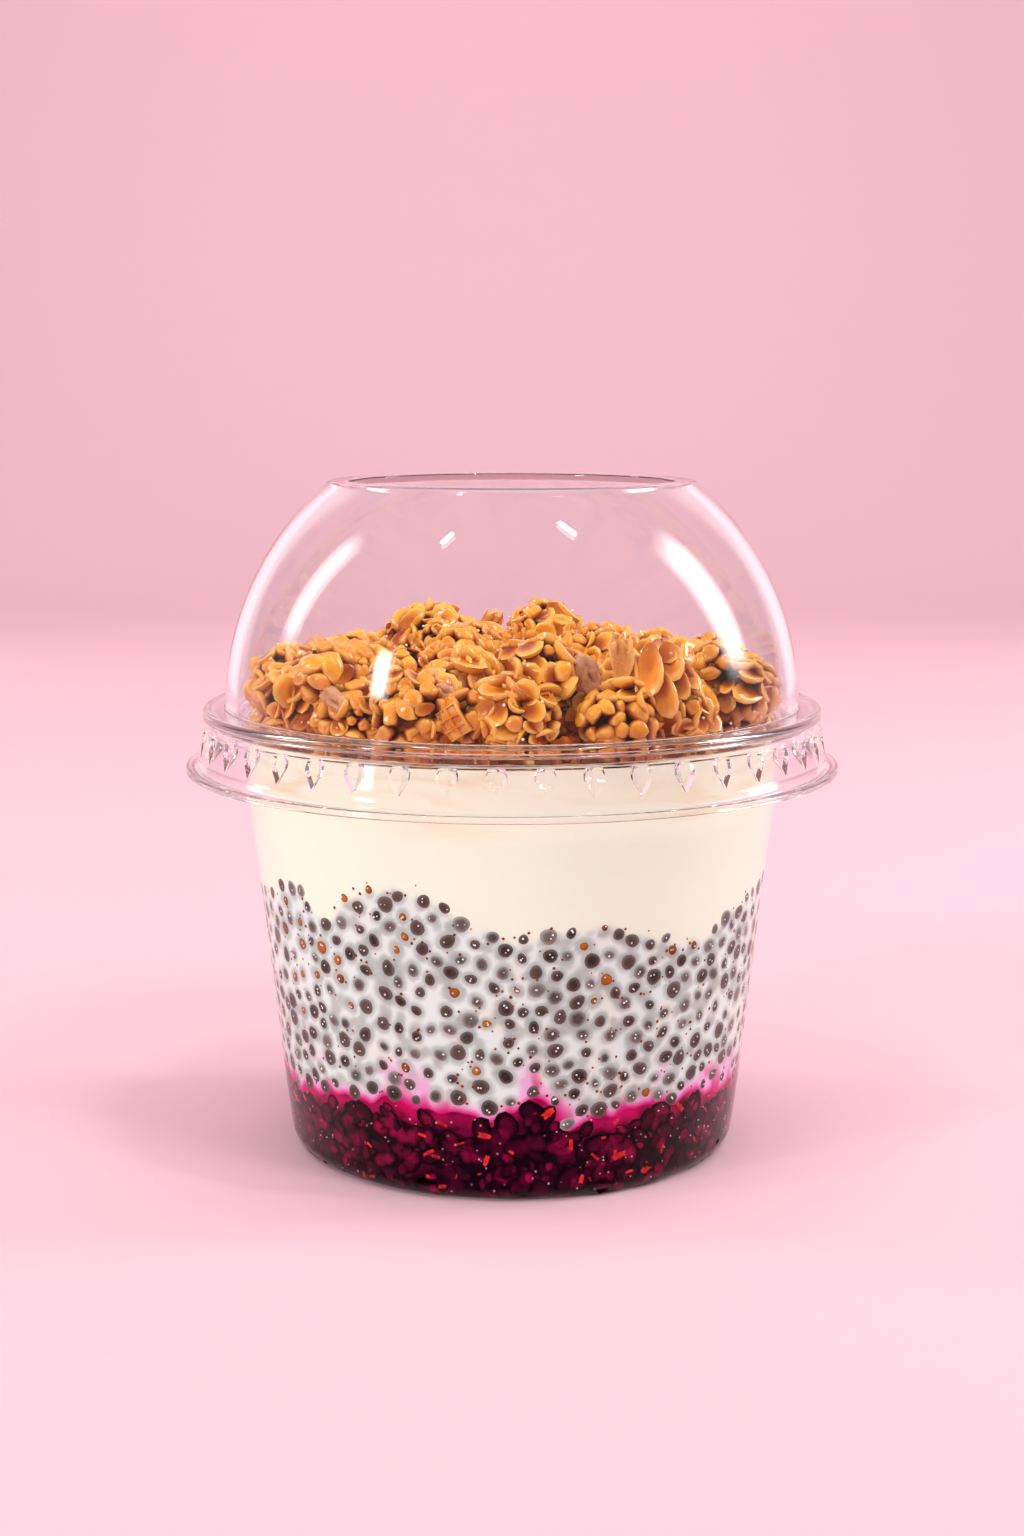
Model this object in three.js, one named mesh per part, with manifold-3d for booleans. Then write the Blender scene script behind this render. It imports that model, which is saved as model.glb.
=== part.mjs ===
// A layered chia pudding in its clear takeaway cup: berry compote, seeded pudding and cream under a heap of
// granola, closed by a clear dome lid with a round opening in its top.
//
// Millimetres, +Z up, origin at the centre of the base. The front faces -Y. An azimuth is measured in degrees
// round the cup from the front, positive towards +X.

import * as THREE from "three";
import { mergeVertices } from "three/addons/utils/BufferGeometryUtils.js";
import Module from "manifold-3d";

const wasm = await Module();
wasm.setup();

// ---------------------------------------------------------------------------------------------------------
// Driving dimensions

const FIT_GAP = 0.3; // between pieces that touch on the real thing
const WALL_CLEARANCE = 0.45; // food to the cup's wall, which has flat facets

const CUP = {
  segments: 36,
  wall: 0.8,
  footInner: 31.5,
  footOuter: 34.4,
  baseRise: 1.0, // the base inside the foot ring stands this much clear of the table
  cornerTop: 2.6, // height at which the rounded lower corner runs into the wall
  cornerSteps: 2,
  wallFoot: 35.99, // outer radius that the sloping wall would have at the table
  wallSlope: 0.1118, // outward lean of the wall, millimetres a millimetre
  slopeTop: 53.7,
  collarFoot: 56.5, // the wall stands upright above this height
  collarRadius: 42.3,
  rimRadius: 47.5,
  rimFillet: 0.8, // between the wall and the rim
  rimEdge: 0.3, // bevel of the rim's outer edges
  rimThickness: 1.2,
  rimTop: 70.1,
};

const LUGS = {
  count: 44,
  azimuth: -2.6, // of the lug nearest the front
  top: 68.3,
  foot: 64.4,
  depthRadius: 47.9,
  halfWidth: 1.5,
  wall: 1.2,
};

const LID = {
  segments: LUGS.count,
  wall: 0.9,
  domeWall: 1.8,
  domeRadius: 45.9, // half width of the ellipse that the dome follows
  domeRise: 46.67, // half height of that ellipse
  domeCentre: 71, // height of its centre
  domeSteps: 6,
  holeRadius: 26,
  top: 107.2,
  topThickness: 1.3,
  shelf: 71.6, // top of the flat ring round the dome's foot
  shelfFillet: 0.7,
  bandRadius: 49.45,
  bandTop: 71.0,
  bandFoot: 68.65,
  skirtRadius: 50.3,
  skirtFoot: 64.0,
  lipRadius: 52.3,
  lipWidth: 1.9,
  lipTop: 62.4,
  lipFoot: 61.3,
};

// Where one layer meets the next at the cup's wall: a mean height, and humps that rise or dip about it.
const PUDDING_TOP = {
  mean: 44,
  humps: [
    { azimuth: -56, rise: 2.5, width: 9 },
    { azimuth: -44, rise: -1.8, width: 5 },
    { azimuth: -26, rise: 6.2, width: 13 },
    { azimuth: 1, rise: -2, width: 5 },
    { azimuth: 42, rise: -4.2, width: 13 },
    { azimuth: 76, rise: 1.4, width: 8 },
    { azimuth: 110, rise: 3, width: 14 },
    { azimuth: 150, rise: -3, width: 16 },
    { azimuth: -150, rise: 4, width: 18 },
    { azimuth: -105, rise: -2, width: 14 },
  ],
};

const COMPOTE_TOP = {
  mean: 13.8,
  humps: [
    { azimuth: -64, rise: -1.6, width: 7 },
    { azimuth: -29, rise: 1.3, width: 12 },
    { azimuth: 6, rise: 3.4, width: 4 },
    { azimuth: 15, rise: -2.2, width: 5 },
    { azimuth: 64, rise: -1.6, width: 9 },
    { azimuth: 120, rise: 1.5, width: 15 },
    { azimuth: 170, rise: -1.5, width: 14 },
    { azimuth: -120, rise: 1.2, width: 13 },
  ],
};

const CREAM_TOP = 67.5;

const SEEDS = {
  columns: 60, // seeds round the cup
  rows: 9, // an odd number, so that the first and the last row stand alike
  height: 0.55, // how far a seed stands out of the pudding round it
  scatter: 0.16, // share of the spacing by which a seed strays
};

const CHUNKS = {
  rows: 3, // of fruit relief up the compote's side
  depth: 0.8,
  edge: 0.8, // the top row's distance below the compote's surface
};

const HEAP = {
  foot: 67.8,
  footRadius: 40.9, // inside the cup's rim
  domeClearance: 0.5,
  middle: 84.5, // height of the heap's surface at its centre
  fall: 5.6, // how much lower the surface is at the reference radius
  reference: 40,
  humps: [
    { x: 5.5, y: 0, rise: 3.2, width: 6 },
    { x: -16, y: 2, rise: 3.2, width: 6 },
    { x: 30, y: 11, rise: 1.6, width: 8 },
  ],
  // Rings of clusters, the first cluster of each at the azimuth.
  rings: [
    { radius: 36.3, count: 17, azimuth: 3 },
    { radius: 25.2, count: 12, azimuth: -12 },
    { radius: 14, count: 7, azimuth: -97 },
    { radius: 5.5, count: 2, azimuth: 90 },
  ],
  clusterRadius: 6.8,
  sizeScatter: 0.9,
  turnScatter: 0.18, // share of the spacing round a ring by which a cluster strays
  outScatter: 0.6,
  upScatter: 1,
  crag: 0.34, // how unevenly a cluster's surface stands out, as a share of its radius
  clustersPerPuff: 4, // every fourth cluster has a puff fused on it
  puffRadius: 2.4,
  puffTilt: [0.1, 1.1], // off the vertical, seen from the cluster's middle
  coreColumns: 24,
  coreShoulder: 74, // height at which the core's side turns into its top
  coreDepth: 7, // of the core's surface below the heap's
  coreCrag: 1.5,
  ceiling: 95, // height that no cluster reaches
};

// ---------------------------------------------------------------------------------------------------------
// Small tools

/** Repeatable numbers from 0 to 1. */
class Dice {
  constructor(seed) {
    this.state = seed;
  }

  throw() {
    this.state = (this.state * 1664525 + 1013904223) % 4294967296;
    return this.state / 4294967296;
  }

  between(low, high) {
    return low + (high - low) * this.throw();
  }

  /** A number up to a reach either side of nothing. */
  stray(reach) {
    return this.between(-reach, reach);
  }
}

const radians = THREE.MathUtils.degToRad;

/** The point at a radius, an azimuth in radians and a height. */
function around(radius, azimuth, z) {
  return new THREE.Vector3(radius * Math.sin(azimuth), -radius * Math.cos(azimuth), z);
}

/** Heights from one to another in equal steps. */
function heights(foot, top, steps) {
  return Array.from({ length: steps + 1 }, (_, step) => THREE.MathUtils.lerp(foot, top, step / steps));
}

/** A quarter of an ellipse as [radius, height] points, level at its foot and upright at its head. */
function cornerArc([footRadius, foot], [headRadius, head], steps) {
  return heights(0, Math.PI / 2, steps).map((turn) => [
    footRadius + (headRadius - footRadius) * Math.sin(turn),
    foot + (head - foot) * (1 - Math.cos(turn)),
  ]);
}

/** A round solid from an outline of [radius, height] points, with a flat facet centred on the azimuth. */
function turned(outline, segments, azimuth = 0) {
  const points = outline.map(([radius, z]) => new THREE.Vector2(radius, z));
  const start = radians(azimuth) - Math.PI / segments;
  return new THREE.LatheGeometry(points, segments, start).rotateX(Math.PI / 2);
}

/** The geometry as a solid for cutting and joining. */
function solidOf(geometry) {
  const bare = geometry.clone();
  bare.deleteAttribute("normal");
  bare.deleteAttribute("uv");
  const merged = mergeVertices(bare, 1e-3);
  const corners = merged.index.array;
  const triangles = [];
  for (let i = 0; i < corners.length; i += 3) {
    const [a, b, c] = corners.slice(i, i + 3);
    if (a !== b && b !== c && c !== a) triangles.push(a, b, c);
  }
  const vertProperties = merged.attributes.position.array;
  const triVerts = new Uint32Array(triangles);
  return new wasm.Manifold(new wasm.Mesh({ numProp: 3, vertProperties, triVerts }));
}

/** The geometry of a solid after cutting and joining. */
function geometryOf(solid) {
  const mesh = solid.getMesh();
  const geometry = new THREE.BufferGeometry();
  geometry.setAttribute("position", new THREE.BufferAttribute(mesh.vertProperties, 3));
  geometry.setIndex(new THREE.BufferAttribute(mesh.triVerts, 1));
  return geometry;
}

/** The largest of the loose bodies that a solid may hold. */
function largestBody(solid) {
  return solid.decompose().reduce((a, b) => (a.volume() > b.volume() ? a : b));
}

/** A closed skin that is sewn together from rings of points, counted round from the front. */
class Skin {
  points = [];
  triangles = [];

  ring(points) {
    const first = this.points.length;
    this.points.push(...points);
    return points.map((_, i) => first + i);
  }

  triangle(a, b, c) {
    this.triangles.push(a, b, c);
  }

  /** Joins two rings of equal count, the upper one above or inside the lower one. */
  band(lower, upper) {
    lower.forEach((corner, i) => {
      const next = (i + 1) % lower.length;
      this.triangle(corner, lower[next], upper[next]);
      this.triangle(corner, upper[next], upper[i]);
    });
  }

  /** Closes a ring by a disc whose rings halve in count towards the centre; facing is 1 up or -1 down. */
  disc(outer, facing, pointAt, shares) {
    const face = (a, b, c) => (facing > 0 ? this.triangle(a, b, c) : this.triangle(a, c, b));
    let rim = outer;
    for (const share of shares) {
      const count = rim.length / 2;
      const inner = this.ring(Array.from({ length: count }, (_, i) => pointAt(share, i / count)));
      inner.forEach((corner, i) => {
        const next = inner[(i + 1) % count];
        const left = rim[2 * i];
        const middle = rim[2 * i + 1];
        const right = rim[(2 * i + 2) % rim.length];
        face(left, middle, corner);
        face(middle, next, corner);
        face(middle, right, next);
      });
      rim = inner;
    }
    const [centre] = this.ring([pointAt(0, 0)]);
    rim.forEach((corner, i) => face(corner, rim[(i + 1) % rim.length], centre));
  }

  geometry() {
    const geometry = new THREE.BufferGeometry().setFromPoints(this.points);
    geometry.setIndex(this.triangles);
    geometry.computeVertexNormals();
    return geometry;
  }
}

// ---------------------------------------------------------------------------------------------------------
// Cup

/** The cup's outer radius at a height above its rounded lower corner. */
function cupRadius(z) {
  if (z >= CUP.collarFoot) return CUP.collarRadius;
  if (z <= CUP.slopeTop) return CUP.wallFoot + CUP.wallSlope * z;
  const share = (z - CUP.slopeTop) / (CUP.collarFoot - CUP.slopeTop);
  return THREE.MathUtils.lerp(cupRadius(CUP.slopeTop), CUP.collarRadius, share);
}

function cupGeometry() {
  const { wall, baseRise, footInner, footOuter, collarRadius, collarFoot, cornerTop, cornerSteps } = CUP;
  const { rimTop, rimRadius, rimEdge, rimFillet } = CUP;
  const rimFoot = rimTop - CUP.rimThickness;
  const slopeRadius = cupRadius(CUP.slopeTop);
  const cornerRadius = cupRadius(cornerTop);
  const outerCorner = cornerArc([footOuter, 0], [cornerRadius, cornerTop], cornerSteps);
  const innerCorner = cornerArc([footOuter - wall / 2, wall], [cornerRadius - wall, cornerTop], cornerSteps);
  return turned(
    [
      [0, baseRise],
      [footInner - baseRise, baseRise],
      [footInner, 0],
      ...outerCorner,
      [slopeRadius, CUP.slopeTop],
      [collarRadius, collarFoot],
      [collarRadius, rimFoot - rimFillet],
      [collarRadius + rimFillet, rimFoot],
      [rimRadius - rimEdge, rimFoot],
      [rimRadius, rimFoot + rimEdge],
      [rimRadius, rimTop - rimEdge],
      [rimRadius - rimEdge, rimTop],
      [collarRadius, rimTop],
      [collarRadius - wall, rimTop - rimFillet],
      [collarRadius - wall, collarFoot],
      [slopeRadius - wall, CUP.slopeTop],
      ...innerCorner.reverse(),
      [footInner + wall / 2, wall],
      [footInner + wall / 2 - baseRise, baseRise + wall],
      [0, baseRise + wall],
    ],
    CUP.segments,
  );
}

// ---------------------------------------------------------------------------------------------------------
// Lid

/** The dome's outer radius at a height, or that of a surface that lies a depth inside it. */
function domeRadius(z, depth = 0) {
  const rise = (z - LID.domeCentre) / (LID.domeRise - depth);
  return (LID.domeRadius - depth) * Math.sqrt(1 - rise * rise);
}

/** Heights up the dome, closer together towards its top, where it curves in the most. */
function domeHeights(foot, top) {
  return Array.from({ length: LID.domeSteps + 1 }, (_, step) => {
    const share = Math.sin((step / LID.domeSteps) * (Math.PI / 2));
    return foot + (top - foot) * share;
  });
}

/** A wedge for each lug: a ledge across its top that runs down to a point at its foot. */
function lugWedges({ outer, inner, top, foot, footRadius, halfWidth }) {
  const positions = [];
  for (let lug = 0; lug < LUGS.count; lug += 1) {
    const azimuth = radians(LUGS.azimuth) + (lug * 2 * Math.PI) / LUGS.count;
    const side = halfWidth / outer;
    const left = around(outer, azimuth - side, top);
    const right = around(outer, azimuth + side, top);
    const deep = around(inner, azimuth, top);
    const point = around(footRadius, azimuth, foot);
    const faces = [left, right, deep, left, point, right, left, deep, point, deep, right, point];
    faces.forEach((corner) => positions.push(corner.x, corner.y, corner.z));
  }
  const geometry = new THREE.BufferGeometry();
  geometry.setAttribute("position", new THREE.Float32BufferAttribute(positions, 3));
  return solidOf(geometry);
}

function lidGeometry() {
  const { wall, domeWall, shelfFillet, bandRadius, skirtRadius, lipRadius } = LID;
  const underTop = LID.top - LID.topThickness;
  const underShelf = CUP.rimTop + FIT_GAP;
  const outerDome = domeHeights(LID.shelf + shelfFillet, LID.top).map((z) => [domeRadius(z), z]);
  const innerDome = domeHeights(underShelf, underTop).map((z) => [domeRadius(z, domeWall), z]);
  const body = turned(
    [
      [LID.holeRadius, LID.top],
      [LID.holeRadius, underTop],
      ...innerDome.reverse(),
      [bandRadius - wall, underShelf],
      [bandRadius - wall, LID.bandFoot],
      [skirtRadius - wall, LID.skirtFoot],
      [lipRadius - LID.lipWidth, LID.lipFoot],
      [lipRadius, LID.lipFoot],
      [lipRadius, LID.lipTop],
      [lipRadius - LID.lipWidth + wall / 2, LID.lipTop],
      [skirtRadius, LID.skirtFoot],
      [bandRadius, LID.bandFoot],
      [bandRadius, LID.bandTop],
      [bandRadius - shelfFillet, LID.shelf],
      [LID.domeRadius + shelfFillet, LID.shelf],
      ...outerDome,
      [LID.holeRadius, LID.top],
    ],
    LID.segments,
    LUGS.azimuth,
  );
  const dents = lugWedges({
    outer: bandRadius + 0.75,
    inner: LUGS.depthRadius,
    top: LUGS.top,
    foot: LUGS.foot,
    footRadius: skirtRadius + 0.3,
    halfWidth: LUGS.halfWidth,
  });
  const backs = lugWedges({
    outer: bandRadius - wall / 2,
    inner: LUGS.depthRadius - LUGS.wall,
    top: CUP.rimTop - CUP.rimThickness - FIT_GAP,
    foot: LUGS.foot - LUGS.wall,
    footRadius: skirtRadius - wall / 2,
    halfWidth: LUGS.halfWidth + 0.7,
  });
  return geometryOf(solidOf(body).add(backs).subtract(dents));
}

// ---------------------------------------------------------------------------------------------------------
// Layers

/** The height at which two layers meet, at an azimuth in radians and a share of the way out to the wall. */
function meetingHeight(boundary, azimuth, share) {
  const atWall = boundary.humps.reduce((height, hump) => {
    const off = THREE.MathUtils.euclideanModulo(azimuth - radians(hump.azimuth) + Math.PI, 2 * Math.PI);
    const away = (off - Math.PI) / radians(hump.width);
    return height + hump.rise * Math.exp(-away * away);
  }, boundary.mean);
  return THREE.MathUtils.lerp(boundary.mean, atWall, share * share);
}

/** The food's radius at a height, clear of the cup's inner wall. */
const foodRadius = (z) => cupRadius(z) - CUP.wall - WALL_CLEARANCE;

const COLUMN = (2 * Math.PI) / SEEDS.columns;
const DISC_SHARES = [0.72, 0.38]; // how far out a disc's inner rings lie

/** Azimuths of the points at which all layers' edges stand. */
const edgeAzimuths = Array.from({ length: SEEDS.columns }, (_, i) => (i + 0.5) * COLUMN);

/** Points at the wall where a layer meets its neighbour, lifted off the shared surface. */
function edgePoints(boundary, lift) {
  return edgeAzimuths.map((azimuth) => {
    const z = meetingHeight(boundary, azimuth, 1);
    return around(foodRadius(z) - SEEDS.height, azimuth, z + lift);
  });
}

/** Gives the points of the wavy disc in which two layers meet. */
function meetingDisc(boundary, lift) {
  const radius = foodRadius(boundary.mean) - SEEDS.height;
  return (share, turn) => {
    const azimuth = turn * 2 * Math.PI + COLUMN / 2;
    return around(radius * share, azimuth, meetingHeight(boundary, azimuth, share) + lift);
  };
}

/** Gives the points of a flat disc. */
function flatDisc(radius, z) {
  return (share, turn) => around(radius * share, turn * 2 * Math.PI + COLUMN / 2, z);
}

/** The compote fills the foot of the cup; its side is uneven with chunks of fruit. */
function compoteGeometry() {
  const skin = new Skin();
  const dice = new Dice(11);
  const floor = CUP.baseRise + CUP.wall + FIT_GAP;
  const cornerTop = CUP.cornerTop + WALL_CLEARANCE;
  const troughEdge = [CUP.footOuter - CUP.wall, CUP.wall + WALL_CLEARANCE];
  const [trough, corner] = cornerArc(troughEdge, [foodRadius(cornerTop), cornerTop], 2).map(([radius, z]) =>
    skin.ring(edgeAzimuths.map((azimuth) => around(radius, azimuth, z))),
  );
  skin.disc(trough, -1, flatDisc((CUP.footInner - CUP.baseRise) / DISC_SHARES[0], floor), DISC_SHARES);
  skin.band(trough, corner);
  let below = corner;
  for (let row = 0; row < CHUNKS.rows; row += 1) {
    const points = edgeAzimuths.map((azimuth) => {
      const top = meetingHeight(COMPOTE_TOP, azimuth, 1) - CHUNKS.edge;
      const z = THREE.MathUtils.lerp(cornerTop, top, row / (CHUNKS.rows - 1));
      return around(foodRadius(z) - dice.between(0, CHUNKS.depth), azimuth, z);
    });
    const side = skin.ring(points);
    skin.band(below, side);
    below = side;
  }
  const edge = skin.ring(edgePoints(COMPOTE_TOP, -FIT_GAP / 2));
  skin.band(below, edge);
  skin.disc(edge, 1, meetingDisc(COMPOTE_TOP, -FIT_GAP / 2), DISC_SHARES);
  return skin.geometry();
}

/** The pudding's side: seeds in staggered rows, each the tip of a low six-sided mound between hollows. */
function seedRows(skin, lowerEdge, upperEdge) {
  const { columns, rows, height, scatter } = SEEDS;
  const dice = new Dice(23);
  const every = Array.from({ length: columns }, (_, i) => i);
  const wrap = (i) => (i + columns) % columns;
  const stagger = (row) => (row % 2) / 2;
  const pointAt = (column, row, depth) => {
    const azimuth = column * COLUMN;
    const bottom = meetingHeight(COMPOTE_TOP, azimuth, 1) + FIT_GAP / 2;
    const top = meetingHeight(PUDDING_TOP, azimuth, 1) - FIT_GAP / 2;
    const z = THREE.MathUtils.lerp(bottom, top, (row + 0.5) / rows);
    return around(foodRadius(z) - depth, azimuth, z);
  };

  // Over each row of seeds but the last stand two rings of hollows: over its gaps, then over its seeds.
  const hollows = Array.from({ length: rows - 1 }, (_, row) => {
    const overGap = every.map((i) => pointAt(i + stagger(row) + 0.5, row + 1 / 3, height));
    const overSeed = every.map((i) => pointAt(i + stagger(row), row + 2 / 3, height));
    return { overGap: skin.ring(overGap), overSeed: skin.ring(overSeed) };
  });

  for (let row = 0; row < rows; row += 1) {
    const below = hollows[row - 1];
    const above = hollows[row];
    const shift = row % 2;
    const seedAt = (i) => pointAt(i + stagger(row) + dice.stray(scatter), row + dice.stray(scatter), 0);
    const seeds = skin.ring(every.map(seedAt));
    seeds.forEach((seed, i) => {
      const left = wrap(i - 1);
      const lowerLeft = wrap(i - 1 + shift);
      const lowerRight = wrap(i + shift);
      const lower = below
        ? [below.overSeed[lowerLeft], below.overGap[lowerLeft], below.overSeed[lowerRight]]
        : [lowerEdge[left], lowerEdge[i]];
      const upper = above
        ? [above.overGap[i], above.overSeed[i], above.overGap[left]]
        : [upperEdge[i], upperEdge[left]];
      const rim = [...lower, ...upper];
      rim.forEach((corner, k) => skin.triangle(seed, corner, rim[(k + 1) % rim.length]));
    });
  }
}

/** The chia pudding stands between the compote and the cream. */
function puddingGeometry() {
  const skin = new Skin();
  const lower = skin.ring(edgePoints(COMPOTE_TOP, FIT_GAP / 2));
  const upper = skin.ring(edgePoints(PUDDING_TOP, -FIT_GAP / 2));
  skin.disc(lower, -1, meetingDisc(COMPOTE_TOP, FIT_GAP / 2), DISC_SHARES);
  seedRows(skin, lower, upper);
  skin.disc(upper, 1, meetingDisc(PUDDING_TOP, -FIT_GAP / 2), DISC_SHARES);
  return skin.geometry();
}

/** The cream lies on the pudding and ends level, just under the cup's rim. */
function creamGeometry() {
  const skin = new Skin();
  const sideRing = (heightAt) =>
    skin.ring(
      edgeAzimuths.map((azimuth) => {
        const z = heightAt(azimuth);
        return around(foodRadius(z), azimuth, z);
      }),
    );
  const lower = skin.ring(edgePoints(PUDDING_TOP, FIT_GAP / 2));
  const chamfer = sideRing((azimuth) => meetingHeight(PUDDING_TOP, azimuth, 1) + 2 * SEEDS.height);
  const collar = sideRing(() => CUP.collarFoot);
  const upper = sideRing(() => CREAM_TOP);
  skin.disc(lower, -1, meetingDisc(PUDDING_TOP, FIT_GAP / 2), DISC_SHARES);
  skin.band(lower, chamfer);
  skin.band(chamfer, collar);
  skin.band(collar, upper);
  skin.disc(upper, 1, flatDisc(foodRadius(CREAM_TOP), CREAM_TOP), DISC_SHARES);
  return skin.geometry();
}

// ---------------------------------------------------------------------------------------------------------
// Granola

/** Height of the granola's surface over a point of the cup. */
function heapHeight(x, y) {
  const out = Math.hypot(x, y) / HEAP.reference;
  return HEAP.humps.reduce((height, hump) => {
    const away = Math.hypot(x - hump.x, y - hump.y) / hump.width;
    return height + hump.rise * Math.exp(-away * away);
  }, HEAP.middle - HEAP.fall * out * out);
}

/** Centres and radii of the clusters, in rings that cover the heap. */
function clusterPlaces() {
  const dice = new Dice(5);
  return HEAP.rings.flatMap(({ radius, count, azimuth }) =>
    Array.from({ length: count }, (_, i) => {
      const turn = radians(azimuth) + ((i + dice.stray(HEAP.turnScatter)) * 2 * Math.PI) / count;
      const centre = around(radius + dice.stray(HEAP.outScatter), turn, 0);
      const size = HEAP.clusterRadius + dice.stray(HEAP.sizeScatter);
      centre.z = heapHeight(centre.x, centre.y) - size + dice.stray(HEAP.upScatter);
      return { centre, size };
    }),
  );
}

/** A ball of flat sides whose corners stand out unevenly. */
function craggyBall(ball, centre, crag, dice) {
  ball.deleteAttribute("normal");
  ball.deleteAttribute("uv");
  const merged = mergeVertices(ball, 1e-3);
  const corners = merged.attributes.position;
  const corner = new THREE.Vector3();
  for (let i = 0; i < corners.count; i += 1) {
    corner.fromBufferAttribute(corners, i).multiplyScalar(1 + dice.stray(crag / 2)).add(centre);
    corners.setXYZ(i, corner.x, corner.y, corner.z);
  }
  return solidOf(merged);
}

/** The space that the granola may fill: inside the cup's rim, and inside the dome above it. */
function heapSpace() {
  const { domeClearance, foot, footRadius, ceiling } = HEAP;
  const ledge = CUP.rimTop + WALL_CLEARANCE;
  const depth = LID.domeWall + domeClearance;
  const sides = heights(ledge, ceiling, 5).map((z) => [domeRadius(z, depth), z]);
  const outline = [[0, foot], [footRadius, foot], [footRadius, ledge], ...sides, [0, ceiling]];
  return solidOf(turned(outline, LID.segments, LUGS.azimuth));
}

/** The heap's core: a rough mound, level with the clusters' middles. */
function heapCore() {
  const { foot, footRadius, coreColumns, coreShoulder, coreDepth, coreCrag } = HEAP;
  const skin = new Skin();
  const dice = new Dice(31);
  const sideRing = (z, crag) => {
    const turns = Array.from({ length: coreColumns }, (_, i) => (i * 2 * Math.PI) / coreColumns);
    return skin.ring(turns.map((azimuth) => around(footRadius - dice.between(0, crag), azimuth, z)));
  };
  const surfaceAt = (share, turn) => {
    const point = around(footRadius * share, turn * 2 * Math.PI, 0);
    point.z = heapHeight(point.x, point.y) - coreDepth + dice.stray(coreCrag);
    return point;
  };
  const base = sideRing(foot, 0);
  const middle = sideRing(CUP.rimTop + FIT_GAP, coreCrag);
  const top = sideRing(coreShoulder, 2 * coreCrag);
  skin.disc(base, -1, flatDisc(footRadius, foot), [DISC_SHARES[0]]);
  skin.band(base, middle);
  skin.band(middle, top);
  skin.disc(top, 1, surfaceAt, [DISC_SHARES[0]]);
  return solidOf(skin.geometry());
}

function granolaGeometry() {
  const dice = new Dice(41);
  const pieces = clusterPlaces().flatMap(({ centre, size }, i) => {
    const cluster = craggyBall(new THREE.DodecahedronGeometry(size), centre, HEAP.crag, dice);
    if (i % HEAP.clustersPerPuff !== 1) return [cluster];
    const azimuth = dice.between(0, 2 * Math.PI);
    const tilt = dice.between(...HEAP.puffTilt);
    const seat = around(size * Math.sin(tilt), azimuth, size * Math.cos(tilt)).add(centre);
    return [cluster, craggyBall(new THREE.IcosahedronGeometry(HEAP.puffRadius), seat, HEAP.crag, dice)];
  });
  const heap = pieces.reduce((whole, piece) => whole.add(piece), heapCore());
  return geometryOf(largestBody(heap.intersect(heapSpace())));
}

// ---------------------------------------------------------------------------------------------------------
// The object

const clearPlastic = (color) =>
  new THREE.MeshStandardMaterial({ color, roughness: 0.08, metalness: 0, transparent: true, opacity: 0.35 });
const food = (color, roughness) => new THREE.MeshStandardMaterial({ color, roughness, metalness: 0 });

const pieces = [
  ["cup", cupGeometry(), clearPlastic("#eef4f6")],
  ["lid", lidGeometry(), clearPlastic("#f1f5f8")],
  ["berry_compote", compoteGeometry(), food("#4a0b2b", 0.25)],
  ["chia_pudding", puddingGeometry(), food("#b4b0ad", 0.4)],
  ["cream", creamGeometry(), food("#faf0e1", 0.45)],
  ["granola", granolaGeometry(), food("#c8822f", 0.4)],
];

const chiaPuddingBowl = new THREE.Group();
chiaPuddingBowl.name = "chia_pudding_bowl";
for (const [name, geometry, material] of pieces) {
  const mesh = new THREE.Mesh(geometry, material);
  mesh.name = name;
  chiaPuddingBowl.add(mesh);
}

export default chiaPuddingBowl;
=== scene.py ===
"""The looks of a chia pudding bowl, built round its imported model.

A squat clear cup holds, from its foot up, a dark berry compote, a milky pudding full of seeds and an ivory
cream. A heap of glazed granola rises from the cream into a clear dome lid with a wide round opening on top.

Sizes are millimetres in the model's own frame: +Z up, the table at 0, the front towards -Y. Azimuth 0 is the
front, and it grows towards +X. Meshes are shaped in millimetres and brought to metres as they become pieces.
"""

import logging
import math
from abc import ABC, abstractmethod
from collections.abc import Callable, Iterator, Sequence
from dataclasses import dataclass, field
from enum import Enum

import bmesh
import bpy
import numpy as np
from mathutils import Matrix, Vector, kdtree, noise


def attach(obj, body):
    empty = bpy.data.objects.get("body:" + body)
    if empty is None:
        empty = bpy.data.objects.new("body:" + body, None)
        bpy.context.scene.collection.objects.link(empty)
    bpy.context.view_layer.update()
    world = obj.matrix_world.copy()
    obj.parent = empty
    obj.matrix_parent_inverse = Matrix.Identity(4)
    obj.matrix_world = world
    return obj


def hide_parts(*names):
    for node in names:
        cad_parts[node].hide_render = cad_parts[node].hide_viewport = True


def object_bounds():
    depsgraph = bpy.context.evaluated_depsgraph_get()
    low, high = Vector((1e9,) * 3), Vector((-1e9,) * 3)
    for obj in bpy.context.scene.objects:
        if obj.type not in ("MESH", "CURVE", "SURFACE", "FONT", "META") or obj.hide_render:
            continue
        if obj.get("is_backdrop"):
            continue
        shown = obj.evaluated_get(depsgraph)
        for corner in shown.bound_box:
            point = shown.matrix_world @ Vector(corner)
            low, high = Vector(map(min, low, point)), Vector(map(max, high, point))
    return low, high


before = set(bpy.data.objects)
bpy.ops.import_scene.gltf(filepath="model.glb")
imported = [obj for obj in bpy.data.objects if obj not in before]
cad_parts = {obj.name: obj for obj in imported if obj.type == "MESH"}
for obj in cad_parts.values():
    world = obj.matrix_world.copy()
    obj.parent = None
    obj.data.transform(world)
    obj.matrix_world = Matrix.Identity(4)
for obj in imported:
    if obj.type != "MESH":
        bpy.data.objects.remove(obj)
cad_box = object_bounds()

MM = 0.001
FULL_TURN = 2 * math.pi
WEDGES = 12
SAME_POINT = 1e-4
SAME_HEIGHT = 0.01
SAME_RADIUS = 0.02
LEVEL = 1e-3
BODY = "root"

log = logging.getLogger("chia_pudding_bowl")

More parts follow.
